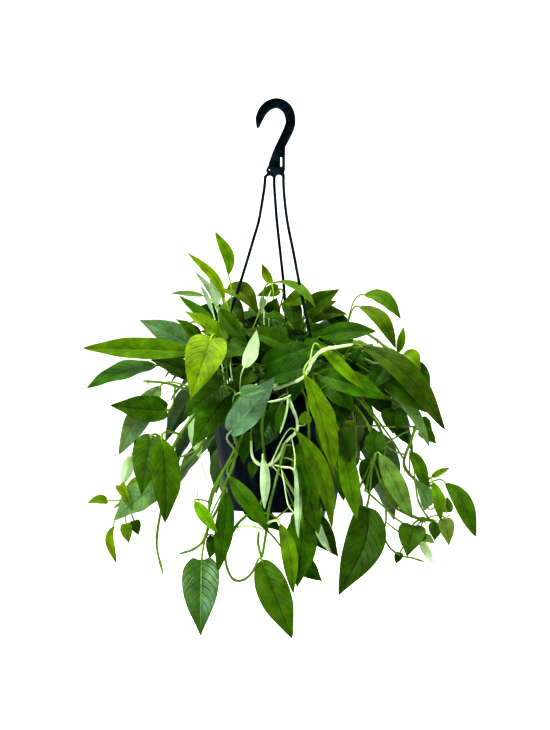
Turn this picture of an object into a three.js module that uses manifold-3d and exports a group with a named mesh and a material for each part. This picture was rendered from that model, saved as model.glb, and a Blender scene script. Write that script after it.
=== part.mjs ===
// A potted cebu blue pothos: a black nursery pot on a moulded three-strand hanger, filled with
// potting mix, from which leafy stems stand up and trail over the rim. Millimetres, +Z up, the
// viewer looks along +Y, and the origin is where the inside of the hook bears on its support.
import * as THREE from "three";
import { mergeVertices } from "three/addons/utils/BufferGeometryUtils.js";
import Module from "manifold-3d";

const wasm = await Module();
wasm.setup();

// How the plant was measured: places are read from one level picture of it, as across, down and
// depth. One unit is 1.15 mm in the plane of the hook, and a place slides along its line of sight.
const UNIT = 1.15;
const HOOK_ACROSS = 276;
const HOOK_DOWN = 108;
const EYE_X = -1.15;
const EYE_Z = -295.6;
const EYE_DISTANCE = 2200;

// Pot and potting mix
const POT_X = 6;
const RIM_TOP = -330;
const POT_HEIGHT = 131;
const RIM_RADIUS = 87.5;
const RIM_BAND = 13;
const WALL_TOP_RADIUS = 84;
const BASE_RADIUS = 62;
const WALL = 2.2;
const FLOOR = 2.6;
const FOOT = 2.5;
const DRAIN_RADIUS = 4.5;
const DRAIN_CIRCLE = 44;
const DRAINS = 6;
const ROUND = 28;
const GAP = 0.3;
const ROUNDING = 1;
const RIM_FLARE = 0.5;
const FOOT_WIDTH = 7;
const CUT_DEPTH = 20;
const MIX_EDGE = RIM_TOP - 16;
const MIX_DOME = 5;
const MIX_RINGS = [0.75, 0.4];
const MIX_CLEARANCE = 0.8;
const STEM_DEPTH = 20;
const STEM_RISE = 3;

// Hanger: the pockets of its ribs are spaced for some more than there are, so they end above the neck
const HOOK_STEPS = 28;
const HOOK_THICK = 7;
const WEB_THICK = 2.4;
const PLATE_EDGE_THICK = 4.9;
const FLANGE = 1.5;
const RIB = 1.2;
const POCKETS = 10;
const POCKET_SPACES = POCKETS + 1.4;
const POCKET_REACH = 0.86;
const STRAND_RADIUS = 1.4;
const STRAND_BOW = 1.08;
const STRAND_FALL = 6;
const EAR_ANGLES = [193, -57, 79];
const EAR_CIRCLE = 93;
const EAR_WIDTH = 11;
const EAR_THICK = 3.5;
const EAR_TOP = RIM_TOP - 3;
const EAR_SUNK = 2;
const EAR_END = 5;
const BARB_RADIUS = 3;
const BARB_TIP_RADIUS = 1.3;
const BARB_LENGTH = 5.5;

// Leaves and stems
const BLADE_THICK = 1.6;
const LONG_ROWS = [0, 0.12, 0.3, 0.56, 0.81];
const SHORT_ROWS = [0, 0.24, 0.62];
const SHORT_BLADE = 52;
const BLADE_START = 0.015;
const LOBE = 0.075;
const PETIOLE_RADIUS = 1.05;
const PETIOLE_BEND = 0.6;
const ROOT_REACH = 2.6;
const PETIOLE_SHARE = 0.42;
const SHORTEST_PETIOLE = 12;
const LONGEST_PETIOLE = 44;
const GUARD = 0.7;
const STEM_STEP = 27;
const STEM_TAPER = 0.25;
// How far a leaf's base and tip may move towards the viewer or away, in the order tried, and the
// sizes that a crowded leaf stays behind at
const SIZES = [1, 0.82, 0.66];
const DEPTHS = [
  [0, 0], [0, -7], [0, 7], [-6, -6], [6, 6], [-6, -15], [6, 15], [-13, -13], [13, 13],
  [-13, -24], [13, 24], [-22, -22], [22, 22], [-24, -36], [24, 36], [-34, -34], [34, 34],
  [-46, -46], [46, 46], [-60, -60], [60, 60],
];

const MOVES = SIZES.flatMap((size) => DEPTHS.map((depths) => [...depths, size]));
// The colour of each tone that a leaf can have
const TONES = { young: 0x7aa62b, green: 0x3f7423, blue: 0x55806a, olive: 0x55702c };

// Solids

function solidOf(geometry) {
  const bare = new THREE.BufferGeometry();
  bare.setAttribute("position", geometry.getAttribute("position"));
  bare.setIndex(geometry.getIndex());
  const merged = mergeVertices(bare, 1e-4);
  return new wasm.Manifold(
    new wasm.Mesh({
      numProp: 3,
      vertProperties: merged.attributes.position.array,
      triVerts: new Uint32Array(merged.index.array),
    }),
  );
}

function meshOf(name, solid, material) {
  const made = solid.getMesh();
  const geometry = new THREE.BufferGeometry();
  geometry.setAttribute("position", new THREE.BufferAttribute(made.vertProperties, 3));
  geometry.setIndex(new THREE.BufferAttribute(made.triVerts, 1));
  geometry.computeVertexNormals();
  const mesh = new THREE.Mesh(geometry, material);
  mesh.name = name;
  return mesh;
}

function joined(solids) {
  return solids.reduce((all, one) => all.add(one));
}

// A closed skin over a row of rings with the same number of points, each of its ends a cap or,
// where one is given, a point.
function loft(rings, tip, start) {
  const sides = rings[0].length;
  const points = rings.flat();
  const faces = [];
  for (let row = 0; row + 1 < rings.length; row++) {
    for (let k = 0; k < sides; k++) {
      const a = row * sides + k;
      const b = row * sides + ((k + 1) % sides);
      const c = a + sides;
      const d = b + sides;
      if (k % 2 === 0) faces.push(a, b, c, b, d, c);
      else faces.push(a, b, d, a, d, c);
    }
  }
  const last = (rings.length - 1) * sides;
  if (start) {
    points.push(start);
    for (let k = 0; k < sides; k++) faces.push((k + 1) % sides, k, points.length - 1);
  } else {
    for (let k = 1; k + 1 < sides; k++) faces.push(0, k + 1, k);
  }
  if (tip) {
    points.push(tip);
    for (let k = 0; k < sides; k++)
      faces.push(last + k, last + ((k + 1) % sides), points.length - 1);
  } else {
    for (let k = 1; k + 1 < sides; k++) faces.push(last, last + k, last + k + 1);
  }
  const geometry = new THREE.BufferGeometry().setFromPoints(points);
  geometry.setIndex(facingOut(points, faces));
  return solidOf(geometry);
}

function facingOut(points, faces) {
  let volume = 0;
  const cross = new THREE.Vector3();
  for (let i = 0; i < faces.length; i += 3) {
    cross.crossVectors(points[faces[i + 1]], points[faces[i + 2]]);
    volume += points[faces[i]].dot(cross);
  }
  return volume < 0 ? faces.reverse() : faces;
}

function extruded(outline, thick) {
  const geometry = new THREE.ExtrudeGeometry(outline, { depth: thick, bevelEnabled: false });
  geometry.translate(0, 0, -thick / 2);
  geometry.rotateX(Math.PI / 2);
  return solidOf(geometry);
}

function turned(profile, segments) {
  const geometry = new THREE.LatheGeometry(
    profile.map(([r, z]) => new THREE.Vector2(r, z)),
    segments,
  );
  geometry.rotateX(Math.PI / 2);
  geometry.translate(POT_X, 0, 0);
  return solidOf(geometry);
}

// Places

const radians = THREE.MathUtils.degToRad;
const UP = new THREE.Vector3(0, 0, 1);

// The point seen at a place of the picture, at a depth behind the plane of the hook.
function seen(across, down, depth) {
  const x = (across - HOOK_ACROSS) * UNIT;
  const z = (HOOK_DOWN - down) * UNIT;
  const reach = (EYE_DISTANCE + depth) / EYE_DISTANCE;
  return new THREE.Vector3(EYE_X + (x - EYE_X) * reach, depth, EYE_Z + (z - EYE_Z) * reach);
}

function roundPot(radius, angle, z) {
  const turn = radians(angle);
  return new THREE.Vector3(POT_X + radius * Math.cos(turn), radius * Math.sin(turn), z);
}

function mixHeight(radius) {
  const share = radius / (WALL_TOP_RADIUS - WALL);
  return MIX_EDGE + MIX_DOME * (1 - share * share);
}

// Rings round a route, each turned as little as possible from the one before; the first faces
// the viewer and a little to the right, which no route does.
function ringsAlong(points, radii, sides) {
  const up = new THREE.Vector3(0.35, -0.8, 0.1);
  return points.map((point, i) => {
    const before = points[Math.max(i - 1, 0)];
    const after = points[Math.min(i + 1, points.length - 1)];
    const along = after.clone().sub(before).normalize();
    up.addScaledVector(along, -up.dot(along)).normalize();
    const side = new THREE.Vector3().crossVectors(along, up);
    return ring(point, side, up, radii[i], sides);
  });
}

function ring(centre, side, up, radius, sides) {
  const points = [];
  for (let k = 0; k < sides; k++) {
    const turn = Math.PI - (2 * Math.PI * k) / sides;
    points.push(
      centre
        .clone()
        .addScaledVector(side, radius * Math.cos(turn))
        .addScaledVector(up, radius * Math.sin(turn)),
    );
  }
  return points;
}

// Hanger: a flat ribbed hook, a thin plate below it, and three strands to the pot's ears.
// Its middle line from the tip to the neck, as across, down and half its width.
const HOOK_LINE = [
  [257.4, 128, 0.7], [258.2, 124.6, 2.1], [259.5, 118.3, 3.8], [263, 111, 4.5], [268.6, 105.6, 4.7],
  [276, 103.2, 4.8], [282.7, 105.1, 5], [287.8, 110.2, 5.1], [290.4, 118.6, 4.9], [289.5, 127, 4.9],
  [284.4, 138.4, 4.7], [277.9, 151.4, 4.4], [272.6, 165, 4.1],
];

function hookPoint(share, side, inset) {
  const spans = HOOK_LINE.length - 1;
  const curve = new THREE.CatmullRomCurve3(
    HOOK_LINE.map(([across, down]) => new THREE.Vector3(across, down, 0)),
    false,
    "catmullrom",
    0.5,
  );
  const at = Math.min(share * spans, spans - 1e-6);
  const i = Math.floor(at);
  const half = THREE.MathUtils.lerp(HOOK_LINE[i][2], HOOK_LINE[i + 1][2], at - i) - inset / UNIT;
  const point = curve.getPoint(share);
  const along = curve.getTangent(share);
  return onPlate(point.x - side * half * along.y, point.y + side * half * along.x);
}

function onPlate(across, down) {
  return new THREE.Vector2((across - HOOK_ACROSS) * UNIT, (HOOK_DOWN - down) * UNIT);
}

function hookBody() {
  const outline = [];
  for (let i = 0; i <= HOOK_STEPS; i++) outline.push(hookPoint(i / HOOK_STEPS, 1, 0));
  for (let i = HOOK_STEPS; i >= 0; i--) outline.push(hookPoint(i / HOOK_STEPS, -1, 0));
  let body = extruded(new THREE.Shape(outline), HOOK_THICK);
  const depth = (HOOK_THICK - WEB_THICK) / 2;
  for (let i = 1; i < POCKETS; i++) {
    const side = i % 2 ? 1 : -1;
    const middle = (i + 0.5) / POCKET_SPACES;
    const reach = POCKET_REACH / POCKET_SPACES;
    const corners = [
      hookPoint(middle - reach, side, FLANGE),
      hookPoint(middle, side, FLANGE),
      hookPoint(middle + reach, side, FLANGE),
      hookPoint(middle, -side, FLANGE + RIB),
    ];
    const pocket = extruded(new THREE.Shape(corners), 2 * depth);
    for (const face of [1, -1]) body = body.subtract(pocket.translate([0, (face * HOOK_THICK) / 2, 0]));
  }
  return body;
}

// The plate below the hook, as across and down: its right side, the two arches between its three
// feet, and its left side up to the hook
const PLATE_RIGHT = [
  [285.1, 145.5], [284.8, 170.4], [284, 172.3], [284.6, 176], [284.6, 179.5], [282.4, 179.5],
];
const PLATE_ARCHES = [[278.8, 174.8, 275.3, 179.5], [269.8, 175.6, 266.4, 179.5]];
const PLATE_FOOT = [273.2, 179.5];
const PLATE_LEFT = [
  [264.2, 179.5], [264.6, 176], [267.3, 172.7], [266.1, 171], [266.6, 168.6], [268.4, 165.6],
  [271.5, 156],
];
const PLATE_EDGE = [[285.2, 145], [284.9, 171], [283.7, 171], [283.7, 147]];
const PLATE_SLOT = [280.2, 157, 282.2, 166.8];
const PLATE_EYE = [268.7, 169, 270.2, 170.5];

function plateBody() {
  const outline = new THREE.Shape();
  const start = onPlate(...PLATE_RIGHT[0]);
  outline.moveTo(start.x, start.y);
  for (const corner of PLATE_RIGHT.slice(1)) lineTo(outline, ...corner);
  archTo(outline, ...PLATE_ARCHES[0]);
  lineTo(outline, ...PLATE_FOOT);
  archTo(outline, ...PLATE_ARCHES[1]);
  for (const corner of PLATE_LEFT) lineTo(outline, ...corner);
  const edge = new THREE.Shape(PLATE_EDGE.map((corner) => onPlate(...corner)));
  return extruded(outline, WEB_THICK)
    .subtract(box(...PLATE_SLOT))
    .subtract(box(...PLATE_EYE))
    .add(extruded(edge, PLATE_EDGE_THICK));
}

function lineTo(outline, across, down) {
  const point = onPlate(across, down);
  outline.lineTo(point.x, point.y);
}

function archTo(outline, across, down, endAcross, endDown) {
  const start = outline.currentPoint;
  const crown = onPlate(across, down);
  const end = onPlate(endAcross, endDown);
  outline.quadraticCurveTo(start.x, crown.y, crown.x, crown.y);
  outline.quadraticCurveTo(end.x, crown.y, end.x, end.y);
}

function box(left, top, right, bottom) {
  const geometry = new THREE.BoxGeometry((right - left) * UNIT, CUT_DEPTH, (bottom - top) * UNIT);
  geometry.translate(
    ((left + right) / 2 - HOOK_ACROSS) * UNIT,
    0,
    (HOOK_DOWN - (top + bottom) / 2) * UNIT,
  );
  return solidOf(geometry);
}

// Where each strand is seen on its way down, and the ear it ends in
const STRANDS = [
  [[265.3, 176], [264, 190], [258.9, 220], [253.2, 240], [241.2, 280], [232, 307]],
  [[283.5, 174.5], [283.8, 190], [287.1, 220], [293.8, 254], [300.1, 287], [312, 341]],
  [[274.2, 176.5], [274.5, 190], [276.8, 220], [280.2, 252], [283.8, 286], [287, 330]],
];

function strandPoints(seenPoints, angle) {
  const end = roundPot(EAR_CIRCLE, angle, EAR_TOP);
  const top = seen(...seenPoints[0], 0);
  const points = seenPoints.map(([across, down]) => {
    const fall = (top.z - (HOOK_DOWN - down) * UNIT) / (top.z - end.z);
    return seen(across, down, end.y * fall ** STRAND_BOW);
  });
  for (const rise of [STRAND_FALL, 0, -EAR_THICK - BARB_LENGTH / 2])
    points.push(end.clone().addScaledVector(UP, rise));
  return points;
}

function strandBody(seenPoints, angle) {
  const points = strandPoints(seenPoints, angle);
  const radii = points.map(() => STRAND_RADIUS);
  const strand = loft(ringsAlong(points, radii, 6));
  const barbTop = EAR_TOP - EAR_THICK - GAP;
  const barb = new THREE.CylinderGeometry(BARB_RADIUS, BARB_TIP_RADIUS, BARB_LENGTH, 8);
  barb.rotateX(Math.PI / 2);
  const foot = roundPot(EAR_CIRCLE, angle, barbTop - BARB_LENGTH / 2);
  barb.translate(foot.x, foot.y, foot.z);
  return strand.add(solidOf(barb));
}

function hanger() {
  const strands = STRANDS.map((points, i) => strandBody(points, EAR_ANGLES[i]));
  return joined([hookBody(), plateBody(), ...strands]);
}

// Pot: a tapered wall with a banded rim, three ears for the hanger and drain holes in its floor

function wallRadius(z) {
  const share = (RIM_TOP - z) / POT_HEIGHT;
  return WALL_TOP_RADIUS + (BASE_RADIUS - WALL_TOP_RADIUS) * share;
}

function pot() {
  const base = RIM_TOP - POT_HEIGHT;
  const floor = base + FOOT;
  const band = RIM_TOP - RIM_BAND;
  const inside = WALL_TOP_RADIUS - WALL;
  const profile = [
    [0, floor],
    [BASE_RADIUS - FOOT_WIDTH - ROUNDING, floor],
    [BASE_RADIUS - FOOT_WIDTH, base],
    [BASE_RADIUS, base],
    [wallRadius(band), band],
    [RIM_RADIUS - RIM_FLARE, band + ROUNDING],
    [RIM_RADIUS, RIM_TOP - ROUNDING],
    [RIM_RADIUS - ROUNDING, RIM_TOP],
    [inside + RIM_FLARE, RIM_TOP],
    [inside, RIM_TOP - ROUNDING],
    [wallRadius(floor + FLOOR) - WALL, floor + FLOOR],
    [0, floor + FLOOR],
  ];
  let body = turned(profile, ROUND);
  const cutter = new THREE.CylinderGeometry(DRAIN_RADIUS, DRAIN_RADIUS, CUT_DEPTH, 8);
  const drain = solidOf(cutter.rotateX(Math.PI / 2));
  for (let i = 0; i < DRAINS; i++) {
    const place = roundPot(DRAIN_CIRCLE, (360 * i) / DRAINS, floor);
    body = body.subtract(drain.translate(place.toArray()));
  }
  for (const angle of EAR_ANGLES) body = body.add(ear(angle));
  return body;
}

function ear(angle) {
  const inner = RIM_RADIUS - EAR_SUNK;
  const outer = EAR_CIRCLE + EAR_END;
  const tab = new THREE.BoxGeometry(outer - inner, EAR_WIDTH, EAR_THICK);
  tab.translate((inner + outer) / 2, 0, EAR_TOP - EAR_THICK / 2);
  const wide = (STRAND_RADIUS + GAP) / Math.cos(Math.PI / 8);
  const hole = new THREE.CylinderGeometry(wide, wide, CUT_DEPTH, 8).rotateX(Math.PI / 2);
  hole.translate(EAR_CIRCLE, 0, EAR_TOP);
  return solidOf(tab).subtract(solidOf(hole)).rotate([0, 0, angle]).translate([POT_X, 0, 0]);
}

function pottingMix(roots) {
  const bottom = RIM_TOP - POT_HEIGHT + FOOT + FLOOR + GAP;
  const edge = (z) => wallRadius(z) - WALL - MIX_CLEARANCE;
  const profile = [[0, bottom], [edge(bottom), bottom], [edge(MIX_EDGE), MIX_EDGE]];
  for (const share of MIX_RINGS) {
    const radius = share * edge(MIX_EDGE);
    profile.push([radius, mixHeight(radius)]);
  }
  profile.push([0, mixHeight(0)]);
  let mix = turned(profile, ROUND);
  for (const { radius, angle, thick } of roots) {
    const wide = (thick + GAP) / Math.cos(Math.PI / 4);
    const hole = new THREE.CylinderGeometry(wide, wide, 2 * STEM_DEPTH + 2 * GAP, 4);
    hole.rotateX(Math.PI / 2);
    const place = roundPot(radius, angle, mixHeight(radius));
    mix = mix.subtract(solidOf(hole).translate(place.toArray()));
  }
  return mix;
}

// Leafy stems

// The outline of a blade: the share of its half width at a share of its length.
function bladeWidth(share) {
  const s = BLADE_START + (1 - BLADE_START) * share;
  return (s ** 0.41 * (1 - s) ** 1.05) / 0.42;
}

function leafFrame(leaf) {
  const chord = leaf.tip.clone().sub(leaf.base);
  const length = chord.length();
  const along = chord.normalize();
  const face = leaf.facing.clone().addScaledVector(along, -leaf.facing.dot(along)).normalize();
  face.applyAxisAngle(along, radians(leaf.roll));
  return { length, along, face, side: new THREE.Vector3().crossVectors(along, face) };
}

function bladePoint(leaf, frame, share) {
  return leaf.base
    .clone()
    .addScaledVector(frame.along, frame.length * share)
    .addScaledVector(frame.face, 4 * leaf.arch * share * (1 - share));
}

function bladeUp(leaf, frame, share) {
  return frame.face
    .clone()
    .multiplyScalar(frame.length)
    .addScaledVector(frame.along, -4 * leaf.arch * (1 - 2 * share))
    .normalize();
}

function bladeTangent(leaf, frame, share) {
  return frame.along
    .clone()
    .multiplyScalar(frame.length)
    .addScaledVector(frame.face, 4 * leaf.arch * (1 - 2 * share))
    .normalize();
}

// One ring of a blade: its left edge, top, right edge and underside.
function bladeRing(leaf, frame, share, grow) {
  const edge = share - LOBE * (1 - share) ** 3;
  const half = (leaf.width / 2) * bladeWidth(share) + grow;
  const fold = radians(leaf.fold);
  const up = bladeUp(leaf, frame, share);
  const rim = bladePoint(leaf, frame, edge).addScaledVector(up, half * Math.sin(fold));
  const middle = bladePoint(leaf, frame, share);
  const reach = half * Math.cos(fold);
  const thick = BLADE_THICK / 2 + grow;
  const left = rim.clone().addScaledVector(frame.side, -reach);
  const right = rim.clone().addScaledVector(frame.side, reach);
  const top = middle.clone().addScaledVector(up, thick);
  const under = middle.clone().addScaledVector(up, -thick);
  if (!grow) return [left, top, right, under];
  const lift = up.clone().multiplyScalar(grow);
  return [
    left.clone().add(lift), top, right.clone().add(lift),
    right.clone().sub(lift), under, left.clone().sub(lift),
  ];
}

function bladeRings(leaf, frame, grow) {
  const rows = frame.length < SHORT_BLADE ? SHORT_ROWS : LONG_ROWS;
  return rows.map((share) => bladeRing(leaf, frame, share, grow));
}

// The petiole leaves the stem and arrives along the blade's own direction.
function petioleRings(leaf, frame, grow) {
  const arrive = bladeTangent(leaf, frame, 0);
  const span = leaf.base.distanceTo(leaf.root);
  const curve = new THREE.CubicBezierCurve3(
    leaf.root,
    leaf.root.clone().lerp(leaf.base, 0.3).addScaledVector(UP, span * 0.12),
    leaf.base.clone().addScaledVector(arrive, -0.35 * span),
    leaf.base,
  );
  let up = bladeUp(leaf, frame, 0);
  const rings = [];
  for (const share of [PETIOLE_BEND, Math.min(ROOT_REACH / span, 0.3)]) {
    const along = curve.getTangent(share);
    up = up.clone().addScaledVector(along, -up.dot(along)).normalize();
    const side = new THREE.Vector3().crossVectors(along, up);
    const centre = curve.getPoint(share);
    const radius = PETIOLE_RADIUS + grow;
    rings.unshift(grow ? hexRing(centre, side, up, radius) : ring(centre, side, up, radius, 4));
  }
  return rings;
}

function hexRing(centre, side, up, radius) {
  const at = (across, high) =>
    centre.clone().addScaledVector(side, across * radius).addScaledVector(up, high * radius);
  return [at(-0.9, 0.5), at(0, 1), at(0.9, 0.5), at(0.9, -0.5), at(0, -1), at(-0.9, -0.5)];
}

function leafSolid(leaf, grow) {
  const frame = leafFrame(leaf);
  const rings = [...petioleRings(leaf, frame, grow), ...bladeRings(leaf, frame, grow)];
  return loft(rings, leaf.tip, leaf.root);
}

function bladeSolid(leaf, grow) {
  return loft(bladeRings(leaf, leafFrame(leaf), grow), leaf.tip);
}

// The places of a stem's rings: one or more for each stretch of its route, by its length.
function stemPlaces(curve) {
  const ends = curve.points;
  const spans = ends.length - 1;
  const places = [ends[0], ends[1]];
  for (let i = 1; i < spans; i++) {
    const steps = Math.max(1, Math.round(ends[i].distanceTo(ends[i + 1]) / STEM_STEP));
    for (let j = 1; j <= steps; j++) places.push(curve.getPoint((i + j / steps) / spans));
  }
  return places;
}

function stemSolid(places, thick) {
  const radii = places.map((_, i) => thick * (1 - (STEM_TAPER * i) / places.length));
  return loft(ringsAlong(places, radii, 4));
}

// The place on the stem that a petiole springs from: about a petiole's length from the blade.
function petioleRoot(places, base, length) {
  const wanted = THREE.MathUtils.clamp(length * PETIOLE_SHARE, SHORTEST_PETIOLE, LONGEST_PETIOLE);
  let best = Infinity;
  let root = null;
  for (let i = 2; i + 1 < places.length; i++) {
    const point = places[i].clone().lerp(places[i + 1], 0.5);
    const miss = Math.abs(point.distanceTo(base) - wanted);
    if (miss < best) {
      best = miss;
      root = point;
    }
  }
  return root;
}

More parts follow.
